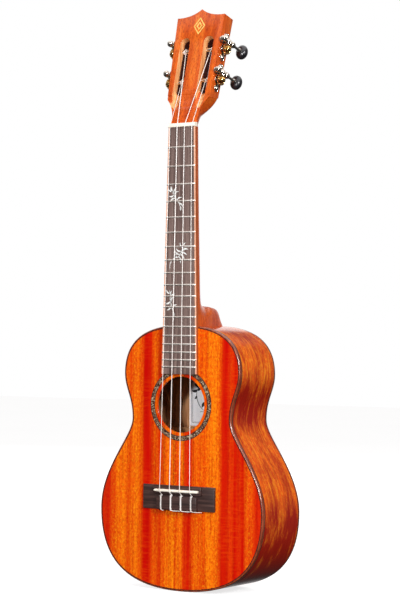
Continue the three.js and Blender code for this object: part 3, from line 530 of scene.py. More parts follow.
BRASS = metal("brass", (190, 146, 82), (226, 188, 124), 0.1)
PEARL = pearl("pearl", (206, 206, 200), (236, 238, 236), (252, 250, 244))
SHELL = pearl("rosette_shell", (150, 136, 104), (206, 196, 170), (244, 236, 216))
CRUSHED = crushed_shell()


# ---- mesh helpers ----
def piece(name, points, faces, finish, slot, body=BODY, replaces=(), sharp=32, place=None):
    """A mesh from points in mm, with smooth shading except at edges sharper than an angle."""
    mesh = bpy.data.meshes.new(name)
    matrix = place or Matrix.Identity(4)
    mesh.from_pydata([(matrix @ Vector(point)) * MM for point in points], [], faces)
    return dress(name, mesh, finish, body, replaces, sharp)


def dress(name, mesh, finish, body=BODY, replaces=(), sharp=32):
    shape = bmesh.new()
    shape.from_mesh(mesh)
    bmesh.ops.remove_doubles(shape, verts=shape.verts, dist=1e-7)
    bmesh.ops.dissolve_degenerate(shape, edges=shape.edges, dist=1e-7)
    bmesh.ops.recalc_face_normals(shape, faces=shape.faces)
    shape.to_mesh(mesh)
    shape.free()
    mesh.shade_smooth()
    mesh.set_sharp_from_angle(angle=math.radians(sharp))
    mesh.materials.clear()
    mesh.materials.append(finish)
    item = bpy.data.objects.new(name, mesh)
    bpy.context.scene.collection.objects.link(item)
    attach(item, body)
    if replaces:
        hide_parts(*replaces)
    return item


def skin(rings, loop=False):
    """Points and faces of a skin through rings of equal counts, closed at its ends or looped."""
    count = len(rings[0])
    points = [point for ring in rings for point in ring]
    spans = len(rings) if loop else len(rings) - 1
    faces = []
    for ring in range(spans):
        here = ring * count
        after = (ring + 1) % len(rings) * count
        for corner in range(count):
            nearby = (corner + 1) % count
            faces.append((here + corner, here + nearby, after + nearby, after + corner))
    if not loop:
        faces.append(tuple(reversed(range(count))))
        faces.append(tuple(range((len(rings) - 1) * count, len(rings) * count)))
    return points, faces


def merged(parts):
    """Several (points, faces) pairs as one."""
    points, faces = [], []
    for part_points, part_faces in parts:
        start = len(points)
        points.extend(part_points)
        faces.extend(tuple(index + start for index in face) for face in part_faces)
    return points, faces


def turns(count):
    """Angles spaced evenly round a circle."""
    return [2 * math.pi * index / count for index in range(count)]


def turned(centre, radius, along, angle, about, squash=1.0):
    """A point at an angle round the X or Y axis through a centre, and some way along it."""
    across, up = radius * squash * math.cos(angle), radius * math.sin(angle)
    offset = (across, along, up) if about == "Y" else (along, across, up)
    return tuple(c + o for c, o in zip(centre, offset))


def lathe(profile, sides=32, centre=(0, 0, 0), squash=1.0, about="Y"):
    """A turned solid from (radius, along) pairs about an axis through a point."""
    rings = []
    for radius, along in profile:
        rings.append([turned(centre, radius, along, a, about, squash) for a in turns(sides)])
    return skin(rings)


def hoop(section, sides, centre=(0, 0, 0), about="Y"):
    """A turned ring, whose closed section is (radius, along) pairs."""
    rings = []
    for angle in turns(sides):
        rings.append([turned(centre, radius, along, angle, about) for radius, along in section])
    return skin(rings, loop=True)


def smooth_path(points, steps=6):
    """A path that passes smoothly through points (a Catmull-Rom spline)."""
    points = [Vector(point) for point in points]
    ends = [points[0], *points, points[-1]]
    path = []
    for before, start, end, after in zip(ends, ends[1:], ends[2:], ends[3:]):
        slope = end - before
        bend = 2 * before - 5 * start + 4 * end - after
        twist = 3 * start - before - 3 * end + after
        for step in range(steps):
            t = step / steps
            path.append(0.5 * (2 * start + slope * t + bend * t**2 + twist * t**3))
    path.append(points[-1])
    return path


def tube(path, radius, sides=12):
    """A round cord along a path, with a small dome at each end."""
    path = [Vector(point) for point in path]
    normal = None
    rings = []
    for index, point in enumerate(path):
        along = (path[min(index + 1, len(path) - 1)] - path[max(index - 1, 0)]).normalized()
        if normal is None:
            normal = along.orthogonal().normalized()
        normal = (normal - along * normal.dot(along)).normalized()
        other = along.cross(normal)
        spokes = [normal * math.cos(turn) + other * math.sin(turn) for turn in turns(sides)]
        dome = [(1, 0)]
        if index == 0:
            dome = [(0.55, -0.6), (0.9, -0.25), (1, 0)]
        elif index == len(path) - 1:
            dome = [(1, 0), (0.9, 0.25), (0.55, 0.6)]
        for share, shift in dome:
            rings.append([point + (spoke * share + along * shift) * radius for spoke in spokes])
    return skin(rings)


def flat_shape(outlines, thickness, bevel=0.0, steps=2):
    """A plate from outlines of (x, y) points, the later ones holes, with rounded edges.
    It lies from z = 0 to its thickness."""
    curve = bpy.data.curves.new("shape", "CURVE")
    curve.dimensions = "2D"
    curve.fill_mode = "BOTH"
    for outline in outlines:
        spline = curve.splines.new("POLY")
        spline.points.add(len(outline) - 1)
        for point, (x, y) in zip(spline.points, outline):
            point.co = (x, y, 0, 1)
        spline.use_cyclic_u = True
    curve.extrude = thickness / 2 - bevel
    curve.bevel_depth = bevel
    curve.bevel_resolution = steps
    curve.offset = -bevel
    holder = bpy.data.objects.new("shape", curve)
    bpy.context.scene.collection.objects.link(holder)
    bpy.context.view_layer.update()
    solid = holder.evaluated_get(bpy.context.evaluated_depsgraph_get()).to_mesh()
    points = [(*vertex.co.xy, vertex.co.z + thickness / 2) for vertex in solid.vertices]
    faces = [tuple(polygon.vertices) for polygon in solid.polygons]
    holder.to_mesh_clear()
    bpy.data.objects.remove(holder)
    bpy.data.curves.remove(curve)
    return points, faces


def moved(part, matrix):
    points, faces = part
    return [tuple(matrix @ Vector(point)) for point in points], faces


def arc(centre, radius, start, end, steps):
    """(x, y) points of an arc, its angles in degrees."""
    angles = [math.radians(start + (end - start) * step / steps) for step in range(steps + 1)]
    return [(centre[0] + radius * math.cos(a), centre[1] + radius * math.sin(a)) for a in angles]


def rounded_box(low, high, radius, steps=3):
    """A box with every edge rounded, between two corners."""
    shape = bmesh.new()
    bmesh.ops.create_cube(shape, size=1)
    for vertex in shape.verts:
        vertex.co = [a + (b - a) * (c + 0.5) for a, b, c in zip(low, high, vertex.co)]
    settings = {"segments": steps, "affect": "EDGES", "profile": 0.5, "clamp_overlap": True}
    bmesh.ops.bevel(shape, geom=shape.edges, offset=radius, **settings)
    shape.verts.index_update()
    points = [tuple(vertex.co) for vertex in shape.verts]
    faces = [tuple(vertex.index for vertex in face.verts) for face in shape.faces]
    shape.free()
    return points, faces


def cubic(corners, t):
    """The point a share of the way along a cubic curve."""
    a, b, c, d = corners
    s = 1 - t
    return a * s**3 + b * 3 * s * s * t + c * 3 * s * t * t + d * t**3


def half_superellipse(power, steps):
    """(u, v) points from (1, 0) over (0, 1) to (-1, 0), squarer for a lower power."""
    points = []
    for step in range(steps + 1):
        angle = math.pi * step / steps
        u = math.copysign(abs(math.cos(angle)) ** power, math.cos(angle))
        points.append((u, max(math.sin(angle), 0) ** power))
    return points


def cut(item, tools, operation="DIFFERENCE"):
    """Cuts closed (points, faces) solids out of a piece's mesh, or joins them to it."""
    for points, faces in tools:
        mesh = bpy.data.meshes.new("tool")
        mesh.from_pydata([Vector(point) * MM for point in points], [], faces)
        shape = bmesh.new()
        shape.from_mesh(mesh)
        bmesh.ops.recalc_face_normals(shape, faces=shape.faces)
        shape.to_mesh(mesh)
        shape.free()
        tool = bpy.data.objects.new("tool", mesh)
        bpy.context.scene.collection.objects.link(tool)
        modifier = item.modifiers.new("cut", "BOOLEAN")
        modifier.operation = operation
        modifier.solver = "EXACT"
        modifier.object = tool
        bpy.context.view_layer.update()
        result = bpy.data.meshes.new_from_object(
            item.evaluated_get(bpy.context.evaluated_depsgraph_get())
        )
        item.modifiers.remove(modifier)
        bpy.data.objects.remove(tool)
        old = item.data
        item.data = result
        bpy.data.meshes.remove(old)
    item.data.shade_smooth()
    item.data.set_sharp_from_angle(angle=math.radians(32))


# ---- body ----
def half_outline():
    """Points of the right half with their outward directions, from the tail to the neck."""
    places = []
    for number, curve in enumerate(OUTLINE):
        corners = [Vector(corner) for corner in curve]
        a, b, c, d = corners
        for step in range(0 if number == 0 else 1, CURVE_STEPS + 1):
            t = step / CURVE_STEPS
            s = 1 - t
            point = cubic(corners, t)
            along = ((b - a) * s * s + (c - b) * 2 * s * t + (d - c) * t * t).normalized()
            places.append((point.x, point.y, along.y, -along.x))
    return places


HALF = half_outline()
WHOLE = HALF + [(-x, z, -nx, nz) for x, z, nx, nz in reversed(HALF[1:-1])]


def inside(place, inset):
    x, z, nx, nz = place
    return x - inset * nx, z - inset * nz


def back_y(z):
    return NECK_END_DEPTH + (TAIL_DEPTH - NECK_END_DEPTH) * (NECK_END_Z - z) / (NECK_END_Z - TAIL_Z)


def rim(profile, from_back=False):
    """A strip along the outline, whose section is a list of (inset, depth)."""
    rings = []
    for place in WHOLE:
        ring = []
        for inset, depth in profile:
            x, z = inside(place, inset)
            ring.append((x, back_y(z) - depth if from_back else depth, z))
        rings.append(ring)
    return skin(rings, loop=True)


def edge_profile(width, height, radius):
    """The section of a binding: a strip with a rounded outer corner."""
    corner = arc((radius, radius), radius, 270, 180, 6)
    return [(width, 0), *corner, (0, height), (width, height)]


def at_depth(points, y):
    return [(x, y, z) for x, z in points]


def add_soundboard():
    """The panel in rings from the soundhole's edge out, with a groove for the rosette."""
    hole, hole_edge, inner, outer = (
        [circle_point(place, radius) for place in WHOLE]
        for radius in (
            SOUNDHOLE_RADIUS,
            SOUNDHOLE_RADIUS + 0.25,
            ROSETTE_INNER - 0.05,
            ROSETTE_OUTER + 0.05,
        )
    )
    edge = [inside(place, LINE_INSET) for place in WHOLE]
    middle = [((a[0] + b[0]) / 2, (a[1] + b[1]) / 2) for a, b in zip(outer, edge)]
    front = [
        at_depth(hole, 0.25),
        at_depth(hole_edge, 0),
        at_depth(inner, 0),
        at_depth(inner, 1),
        at_depth(outer, 1),
        at_depth(outer, 0),
        at_depth(middle, 0),
        at_depth(edge, 0),
    ]
    back = [at_depth(points, PLATE) for points in (edge, middle, hole)]
    board = skin(front + back, loop=True)
    panel = piece("soundboard_panel", *board, SOUNDBOARD, "soundboard", replaces=("soundboard",))
    line_inside(panel, behind_soundboard)


def add_edges(face, depth, from_back):
    """One face's binding, with a dark line inside it and another below it on the side."""
    strip = rim(edge_profile(SIDE, depth, EDGE_RADIUS), from_back)
    piece(f"{face}_binding_strip", *strip, BINDING, "binding", replaces=(f"{face}_binding",))
    line = rim(square_profile(SIDE, LINE_INSET, 0.01, PLATE), from_back)
    piece(f"{face}_purfling", *line, LINE_WOOD, "binding")
    side_line = [(0.01, depth), (0.01, depth + PURFLING), (SIDE, depth + PURFLING), (SIDE, depth)]
    piece(f"side_purfling_{face}", *rim(side_line, from_back), LINE_WOOD, "binding")


def square_profile(left, right, top, bottom):
    return [(left, top), (right, top), (right, bottom), (left, bottom)]


def add_side(name, sign):
    front = FRONT_BINDING + PURFLING
    rings = []
    for x, z, nx, nz in HALF:
        place = (sign * x, z, sign * nx, nz)
        (x0, z0), (x1, z1) = inside(place, 0), inside(place, SIDE)
        y0, y1 = (back_y(height) - BACK_BINDING - PURFLING for height in (z0, z1))
        rows = [front + (y0 - front) * step / 4 for step in range(5)]
        rings.append([(x0, y, z0) for y in rows] + [(x1, y1, z1), (x1, front, z1)])
    panel = skin(rings)
    wall = piece(f"side_panel_{name}", *panel, SIDE_WOOD, "body_wood", replaces=(f"side_{name}",))
    line_inside(wall, inward)


def add_back():
    centre = Vector((0, SOUNDHOLE_Z))
    loops = []
    for share in (0.12, 0.5, 1):
        loops.append([centre.lerp(Vector(inside(p, LINE_INSET)), share) for p in WHOLE])
    rings = [[(x, back_y(z), z) for x, z in loop] for loop in loops]
    rings += [[(x, back_y(z) - PLATE, z) for x, z in loop] for loop in reversed(loops)]
    back = piece("back_panel", *skin(rings), BACK_WOOD, "body_wood", replaces=("back_plate",))
    line_inside(back, before_back)


def add_body():
    add_soundboard()
    add_edges("front", FRONT_BINDING, False)
    add_edges("back", BACK_BINDING, True)
    add_side("right", 1)
    add_side("left", -1)
    add_back()


def line_inside(item, towards):
    """Gives raw wood to a panel's faces on the inside of the body."""
    item.data.materials.append(RAW_WOOD)
    for face in item.data.polygons:
        if face.normal.dot(towards(face.center)) > 0.7:
            face.material_index = 1


def behind_soundboard(centre):
    """The way into the body from the soundboard's back. Its rosette groove has none."""
    return Vector((0, 1, 0)) if centre.y > 1.5 * MM else Vector()


def before_back(centre):
    return Vector((0, -1, 0))


def inward(centre):
    """The way into the body from the nearest point of the outline."""
    x, z = abs(centre.x) / MM, centre.z / MM
    near = min(HALF, key=lambda place: (place[0] - x) ** 2 + (place[1] - z) ** 2)
    return Vector((-math.copysign(near[2], centre.x), 0, -near[3]))


def circle_point(place, radius):
    """The point of a circle round the soundhole's centre on the way to a place."""
    way = Vector((place[0], place[1] - SOUNDHOLE_Z)).normalized()
    return way.x * radius, SOUNDHOLE_Z + way.y * radius


# ---- rosette ----


def add_rosette():
    centre = (0, 0, SOUNDHOLE_Z)
    inner, outer = ROSETTE_INNER + ROSETTE_LINE, ROSETTE_OUTER - ROSETTE_LINE
    ring = hoop(square_profile(inner, outer, 0, 1), 160, centre)
    piece("rosette_ring", *ring, CRUSHED, "shell", replaces=("rosette",))
    bands = ((ROSETTE_INNER, inner), (outer, ROSETTE_OUTER))
    lines = [hoop(square_profile(*band, -0.01, 1), 160, centre) for band in bands]
    piece("rosette_lines", *merged(lines), LINE_WOOD, "shell")
    rng = random.Random(7)
    count = 46
    chips = []
    for number in range(count):
        turn = 2 * math.pi * (number + rng.uniform(-0.4, 0.4)) / count
        middle = rng.uniform(inner + 0.9, outer - 0.9)
        x, z = middle * math.cos(turn), SOUNDHOLE_Z + middle * math.sin(turn)
        size = rng.uniform(0.25, 0.75)
        lean = rng.uniform(0, math.pi)
        outline = []
        for corner in range(5):
            angle = 2 * math.pi * corner / 5 + rng.uniform(-0.4, 0.4)
            long, short = size * math.cos(angle), size * 0.5 * math.sin(angle)
            across = long * math.cos(lean) - short * math.sin(lean)
            up = long * math.sin(lean) + short * math.cos(lean)
            outline.append((x + across, z + up))
        chips.append(skin([at_depth(outline, y) for y in (-0.03, 0.2)]))
    piece("rosette_chips", *merged(chips), SHELL, "shell")


# ---- label ----
def add_label():
    low, high = (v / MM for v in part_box("label"))
    middle = (low + high) / 2
    slope = math.atan((TAIL_DEPTH - NECK_END_DEPTH) / (NECK_END_Z - TAIL_Z))
    place = Matrix.Translation((0, middle.y - 0.12, middle.z)) @ Matrix.Rotation(slope, 4, "X")
    half_width, half_height = 34, 26
    paper = rounded_sheet(half_width, half_height, 2, 0, 0.22)
    piece("label_sheet", *paper, PAPER, "paper", replaces=("label",), place=place)
    frames = [
        frame_line(half_width - 3, half_height - 3, 0.5, 2),
        frame_line(half_width - 4.4, half_height - 4.4, 0.22, 1.4),
    ]
    for row, reach in enumerate((12, 20, 16)):
        frames.append(rounded_sheet(reach, 0.25, 0.1, -0.05, 0.06, up=-6 - 4.5 * row))
    sprig = [ribbon([(-19, 20), (-24, 12), (-24, 3), (-19, -6), (-10, -12)], 0.3)]
    for base, length, angle, width in (
        ((-22, 15), 9, 110, 1.9),
        ((-23, 13.5), 8, 190, 1.7),
        ((-23.5, 12), 8, 20, 1.8),
        ((-24.2, 7), 5, 230, 1.4),
        ((-20, 18), 8, 60, 1.8),
        ((-18, -6), 9, 40, 2),
    ):
        sprig.append(leaf(base, length, angle, width))
    for outline in sprig:
        frames.append(stand(flat_shape([outline], 0.06), -0.05))
    piece("label_print", *merged(frames), INK, "paper", place=place)


def stand(part, y):
    """A shape drawn in x and y stands up to face the front, its front at a depth."""
    points, faces = part
    return [(x, y + z, up) for x, up, z in points], faces


def rounded_outline(half_x, half_z, radius, up=0.0):
    x, z = half_x - radius, half_z - radius
    return [
        *arc((x, up + z), radius, 0, 90, 4),
        *arc((-x, up + z), radius, 90, 180, 4),
        *arc((-x, up - z), radius, 180, 270, 4),
        *arc((x, up - z), radius, 270, 360, 4),
    ]


def rounded_sheet(half_x, half_z, radius, y, thickness, up=0.0):
    return stand(flat_shape([rounded_outline(half_x, half_z, radius, up)], thickness), y)


def frame_line(half_x, half_z, width, radius):
    outlines = [
        rounded_outline(half_x, half_z, radius),
        rounded_outline(half_x - width, half_z - width, radius * 0.8),
    ]
    return stand(flat_shape(outlines, 0.06), -0.05)


def leaf(base, length, angle, width, bend=0.15):
    """The outline of a pointed leaf from its base, leaning at an angle in degrees."""
    steps = 8
    turn = math.radians(angle)
    along = Vector((math.cos(turn), math.sin(turn)))
    across = Vector((-along.y, along.x))
    edges = []
    for side in (1, -1):
        for step in range(steps):
            t = step / steps if side > 0 else 1 - step / steps
            spread = side * width * math.sin(math.pi * t) ** 0.8 * (1.15 - 0.5 * t)
            bow = bend * length * math.sin(math.pi * t)
            edges.append(Vector(base) + along * length * t + across * (spread + bow))
    return [tuple(point) for point in edges]


# ---- bridge and saddle ----
def string_x(index, spacing):
    return (index - 1.5) * spacing


def add_bridge():
    base = rounded_box((-BRIDGE_HALF, -BRIDGE_WING, BRIDGE_BOTTOM), (BRIDGE_HALF, 0, BRIDGE_TOP), 0.5)
    bridge = piece("bridge_body", *base, BRIDGE_WOOD, "bridge", replaces=("bridge",))
    bed = rounded_box((-BED_HALF, -BED_HEIGHT, TIE_TOP + 1.6), (BED_HALF, -0.5, BRIDGE_TOP), 0.45)
    tie = rounded_box((-TIE_HALF, -TIE_HEIGHT, BRIDGE_BOTTOM), (TIE_HALF, -0.5, TIE_TOP), 0.45)
    cut(bridge, [bed, tie], "UNION")
    slot = rounded_box(
        (-SADDLE_HALF - 0.1, -12, SADDLE_Z - 1.6), (SADDLE_HALF + 0.1, -1.5, SADDLE_Z + 1.6), 0.05, 1
    )
    holes = []
    for index in range(4):
        x = string_x(index, SADDLE_STRING_SPACING)
        place = Matrix.Translation((x, TIE_HOLE_Y, (TIE_TOP + BRIDGE_BOTTOM) / 2))
        hole = lathe([(0.9, -10), (0.9, 10)], 20)
        holes.append(moved(hole, place @ Matrix.Rotation(math.pi / 2, 4, "X")))
    cut(bridge, [slot, *holes])

    half = SADDLE_THICKNESS / 2 - 0.05
    rings = []
    for x, share in rounded_ends(SADDLE_HALF - 0.05, half):
        top = SADDLE_HEIGHT - half - 0.3 * (1 - share)
        crown = arc((0, 0), half * share, 0, 180, 10)
        ring = [(x, -top - up, SADDLE_Z + z) for z, up in crown]
        ring += [(x, -1.6, SADDLE_Z - half * share), (x, -1.6, SADDLE_Z + half * share)]
        rings.append(ring)
    piece("saddle_bar", *skin(rings), BONE, "bone", replaces=("saddle",))


def rounded_ends(half, radius):
    """Places along a bar and the share of its thickness there, with half round ends."""
    angles = [math.radians(angle) for angle in (0, 20, 40, 60, 75, 86)]
    ends = [(half - radius + radius * math.sin(a), math.cos(a)) for a in angles]
    return [(-x, share) for x, share in reversed(ends)] + ends


# ---- neck, heel and fretboard ----
def board_half(z):
    return (NUT_WIDTH + (BOARD_END_WIDTH - NUT_WIDTH) * z / BOARD_END_Z) / 2


NECK_FOOT_Z = NECK_END_Z - 5
NECK_DEPTH_AT_NUT = 14.5
NECK_DEPTH_AT_HEEL = 16.4
HEEL_START_Z = -158
HEEL_BEND_Y = 34
HEEL_FOOT_Y = 66.5
HEEL_FRONT_REACH = 60
HEEL_WIDE = 20
HEEL_NARROW = 11
# The back of the heel on the centre line, as cubic curves of (z, y) points
HEEL_CURVES = (
    ((HEEL_START_Z, NECK_DEPTH_AT_HEEL), (-181, 16.6), (-187.4, 17.6), (-188, HEEL_BEND_Y)),
    ((-188, HEEL_BEND_Y), (-188.6, 42), (-189, 46), (-189.6, 50)),
    ((-189.6, 50), (-190.6, 55.5), (-193, 57), (-197, 59)),
    ((-197, 59), (-201, 61), (-205, 64), (NECK_END_Z, HEEL_FOOT_Y)),
)


def heel_half(y):
    """The heel's half width at a depth."""
    t = min(max((y - 16) / 50, 0), 1)
    return HEEL_WIDE - (HEEL_WIDE - HEEL_NARROW) * t


def smooth_step(value, low, high):
    t = min(max((value - low) / (high - low), 0), 1)
    return t * t * (3 - 2 * t)


def neck_ring(front, back, power):
    """Half a superellipse from the front edge round the back, in the plane of both points."""
    ring = []
    for u, v in half_superellipse(power, 28):
        z = front[0] + (back[0] - front[0]) * v
        y = front[1] + (back[1] - front[1]) * v
        heel = smooth_step(y, 6, 20) * smooth_step(-z, 165, 185)
        half = board_half(max(z, NECK_END_Z)) * (1 - heel) + heel_half(y) * heel
        ring.append((u * half, y, z))
    return ring


def add_neck():
    rings = []
    steps = 24
    for step in range(steps + 1):
        share = step / steps
        z = HEEL_START_Z * share
        depth = NECK_DEPTH_AT_NUT + (NECK_DEPTH_AT_HEEL - NECK_DEPTH_AT_NUT) * share
        rings.append(neck_ring((z, 0), (z, depth), 1.25 - 0.2 * share**2))
    steps = 12
    for number, curve in enumerate(HEEL_CURVES):
        corners = [Vector(corner) for corner in curve]
        for step in range(1, steps + 1):
            t = step / steps
            back = cubic(corners, t)
            if number == 0:
                front = (HEEL_START_Z + (NECK_FOOT_Z - HEEL_START_Z) * t, 0)
            else:
                way = (back.y - HEEL_BEND_Y) / (HEEL_FOOT_Y - HEEL_BEND_Y)
                front = (NECK_FOOT_Z, HEEL_FRONT_REACH * way)
            squareness = smooth_step(number + t, 0.5, 1.3)
            rings.append(neck_ring(front, back, 1.05 - 0.6 * squareness))
    nodes = ("neck", "neck_heel")
    piece("neck_and_heel", *skin(rings), NECK_WOOD, "neck_wood", replaces=nodes, sharp=50)


def fret_z(number):
    return -SCALE_LENGTH * (1 - 2 ** (-number / 12))


def board_outline(inset):
    """The board's outline, set in from its sides."""
    top, bottom = board_half(0) - inset, board_half(BOARD_END_Z) - inset
    return [(-bottom, BOARD_END_Z), (bottom, BOARD_END_Z), (top, 0), (-top, 0)]


def edging_outline(sign):
    """The outline of the strip on one side of the board."""
    top, bottom = board_half(0), board_half(BOARD_END_Z)
    inner_top, inner_bottom = top - BOARD_BINDING, bottom - BOARD_BINDING
    corners = [(inner_top, 0), (top, 0), (bottom, BOARD_END_Z), (inner_bottom, BOARD_END_Z)]
    return [(sign * x, z) for x, z in corners]


def add_fretboard():
    top = -BOARD_THICKNESS
    board = stand(flat_shape([board_outline(BOARD_BINDING)], BOARD_THICKNESS), top)
    piece("fretboard_panel", *board, ROSEWOOD, "fretboard", replaces=("fretboard",))
    strips = [flat_shape([edging_outline(sign)], BOARD_THICKNESS, 0.15) for sign in (-1, 1)]
    edging = stand(merged(strips), top)
    piece("fretboard_edging", *edging, EDGING, "board_edging", replaces=("fretboard_binding",))
    for number in range(1, FRET_COUNT + 1):
        add_fret(number)
    for number, sprig in enumerate(SPRIGS):
        leaves = [stand(flat_shape([outline], 0.3), top - 0.03) for outline in sprig()]
        piece(f"fretboard_inlay_{number + 1}", *merged(leaves), PEARL, "shell")


def add_fret(number):
    """A crowned wire with bevelled, rounded ends."""
    z = fret_z(number)
    half = board_half(z) - 0.25
    foot = -BOARD_THICKNESS + 0.3
    ends = ((half, 0.35), (half - 0.25, 0.72), (half - 0.8, 1))
    rings = []
    for x, height in [(-x, height) for x, height in ends] + list(reversed(ends)):
        crown = arc((0, 0), 1, 180, 0, 10)
        ring = [(x, -BOARD_THICKNESS - up * height, z + across) for across, up in crown]
        rings.append([*ring, (x, foot, z + 1), (x, foot, z - 1)])
    piece(f"fret_{number}", *skin(rings), FRET_METAL, "nickel", replaces=("frets",))


def first_sprig():
    """Leaves on a stem that runs down from the third fret."""
    return [
        ribbon([(-12, -63), (-10, -69), (-6, -76), (-1.5, -82), (-0.5, -88)], 0.4),
        leaf((-10.5, -68), 7, 150, 0.9),
        leaf((-10, -69), 7.5, 110, 1.0),
        leaf((-9, -70.5), 8, 62, 0.9),
        leaf((-8.6, -71.5), 7, 30, 0.8),
        leaf((-8.4, -72), 7, 185, 1.0),
        leaf((-6.2, -75), 8, 200, 0.9, -0.1),
        leaf((-5, -77), 7, 20, 0.8),
        leaf((-3, -80), 7.5, 320, 1.0),
        leaf((-1, -83), 6, 275, 0.8),
    ]


def second_sprig():
    """A spray near the seventh and eighth frets, its stem trailing to the lower left."""
    return [
        ribbon([(4, -124), (2, -131), (-2, -137), (-8, -139), (-12.5, -144), (-13, -150)], 0.4),
        leaf((3, -128), 7, 120, 0.9),
        leaf((3, -129), 8, 60, 1.0),
        leaf((2, -131), 8.5, 10, 1.1),
        leaf((1, -133), 8, 340, 1.0),
        leaf((0, -134), 9, 305, 1.1),
        leaf((-2, -136), 9, 285, 0.9),
        leaf((1.6, -131.5), 8, 155, 1.0),
        leaf((-0.6, -135), 9, 140, 1.0),
        leaf((-3.4, -138), 7, 125, 0.8),
        leaf((-7, -139), 6, 60, 0.8),
        leaf((-9, -140), 6, 170, 0.8),
    ]


def third_sprig():
    """Leaves down the left side from the tenth fret to the thirteenth."""
    return [
        ribbon([(-13, -172), (-12, -181), (-10.5, -188), (-8, -195), (-7, -204)], 0.4),
        leaf((-12.6, -176), 7, 135, 0.9),
        leaf((-12, -179), 7, 70, 1.0),
        leaf((-11.8, -181), 8, 40, 1.0),
        leaf((-11.6, -184), 7, 200, 1.1),
        leaf((-11, -186), 8, 65, 0.9),
        leaf((-10.6, -188), 8, 225, 1.0),
        leaf((-9.4, -191), 7, 30, 0.9),
        leaf((-8.6, -194), 7, 280, 0.8),
    ]


SPRIGS = (first_sprig, second_sprig, third_sprig)


def ribbon(points, half):
    """A thin strip round a smooth line through (x, z) points, narrowing to its ends."""
    path = smooth_path([(x, z, 0) for x, z in points])
    left, right = [], []
    for index, point in enumerate(path):
        along = path[min(index + 1, len(path) - 1)] - path[max(index - 1, 0)]
        across = Vector((-along.y, along.x, 0)).normalized()
        width = half * (0.25 + math.sin(math.pi * index / (len(path) - 1)))
        left.append(tuple((point + across * width).xy))
        right.append(tuple((point - across * width).xy))
    return left + right[::-1]


def add_nut():
    """A bar whose top is level next to the fretboard and falls away towards the head."""
    profile = [
        (0, 0),
        (0, NUT_SLOT_Y),
        (0.2, 0.2 - NUT_HEIGHT),
        (0.7, -NUT_HEIGHT),
        (1.5, -NUT_HEIGHT),
        (NUT_LENGTH - 0.8, 0.8 - NUT_HEIGHT),
        (NUT_LENGTH - 0.2, 1.8 - NUT_HEIGHT),
        (NUT_LENGTH, 2.6 - NUT_HEIGHT),
        (NUT_LENGTH, 0),
    ]
    half, corner = NUT_WIDTH / 2, 0.35
    rings = []
    for x, shrink in ((-half, corner), (corner - half, 0), (half - corner, 0), (half, corner)):
        rings.append([(x, min(y + shrink, 0), z) for z, y in profile])
    nut = piece("nut_bar", *skin(rings), BONE, "bone", replaces=("nut",))
    grooves = []
    for index, diameter in enumerate(STRING_DIAMETERS):
        x = string_x(index, NUT_STRING_SPACING)
        radius = diameter / 2 + 0.08
        y = NUT_SLOT_Y - radius
        grooves.append(tube([(x, y, -2), (x, y, 1), (x, -3.1 - radius, 5.5)], radius))
    cut(nut, grooves)


# ---- headstock ----
def quadratic(start, control, end, steps=10):
    a, b, c = Vector(start), Vector(control), Vector(end)
    places = [step / steps for step in range(1, steps + 1)]
    return [tuple(a * (1 - t) ** 2 + b * 2 * t * (1 - t) + c * t * t) for t in places]


def throat():
    """The head's edge from the neck to its shoulder, as (half width, height)."""
    start = (NUT_WIDTH / 2, SHOULDER_NECK_Z)
    control = (NUT_WIDTH / 2 + 1, SHOULDER_NECK_Z + 10)
    return [start, *quadratic(start, control, SHOULDER)]


def head_outline():
    corner = Vector(HEAD_CORNER)
    lift = SHOULDER_LIFT + 0.5
    right = [(SHOULDER[0] + lift * math.tan(SIDE_ANGLE), SHOULDER[1] + lift), HEAD_CORNER]
    right += quadratic(HEAD_CORNER, (corner.x / 2.6, corner.y - 1), (0, HEAD_APEX))
    left = [(-x, z) for x, z in reversed(right[:-1])]
    return right + left


def slot_outline(side):
    radius = (SLOT_OUTER - SLOT_INNER) / 2
    centre = side * (SLOT_INNER + SLOT_OUTER) / 2
    return [
        *arc((centre, SLOT_TOP - radius), radius, 0, 180, 16),
        *arc((centre, SLOT_BOTTOM + radius), radius, 180, 360, 16),
    ]


def stem_ring(z, half, depth, power, lift, swell=1.0):
    """A section of the throat whose back stands higher than its front, and may be wider."""
    ring = []
    for u, v in half_superellipse(power, 24):
        ring.append((u * half * (1 + (swell - 1) * v), v * depth, z + lift * v))
    return ring


def add_stem(head):
    """The neck's round section opening out into the head's square one."""
    half = NUT_WIDTH / 2
    rings = [
        stem_ring(-6, half, 13, 1.25, 0),
        stem_ring(2, half, 13.6, 1.15, 0.6),
        stem_ring(7, half, 14.2, 1.0, 1.6),
    ]
    places = throat()
    for number, (x, z) in enumerate(places):
        share = number / (len(places) - 1)
        depth = HEAD_THICKNESS - 2.6 * (1 - share) ** 2.5 - 0.02
        power = 0.08 + 0.77 * (1 - share) ** 2.8
        swell = 1 + 0.07 * math.sin(math.pi * share) * share
        lift = 1.8 + (SHOULDER_LIFT - 1.8) * share**4
        rings.append(stem_ring(z, x, depth, power, lift, swell))
    top = SHOULDER_LIFT + 2
    side = SHOULDER[0] + top * math.tan(SIDE_ANGLE) - 0.01
    rings.append(stem_ring(SHOULDER[1] + top, side, HEAD_THICKNESS - 0.02, 0.08, 0))
    cut(head, [moved(skin(rings), HEAD_FRAME)], "UNION")


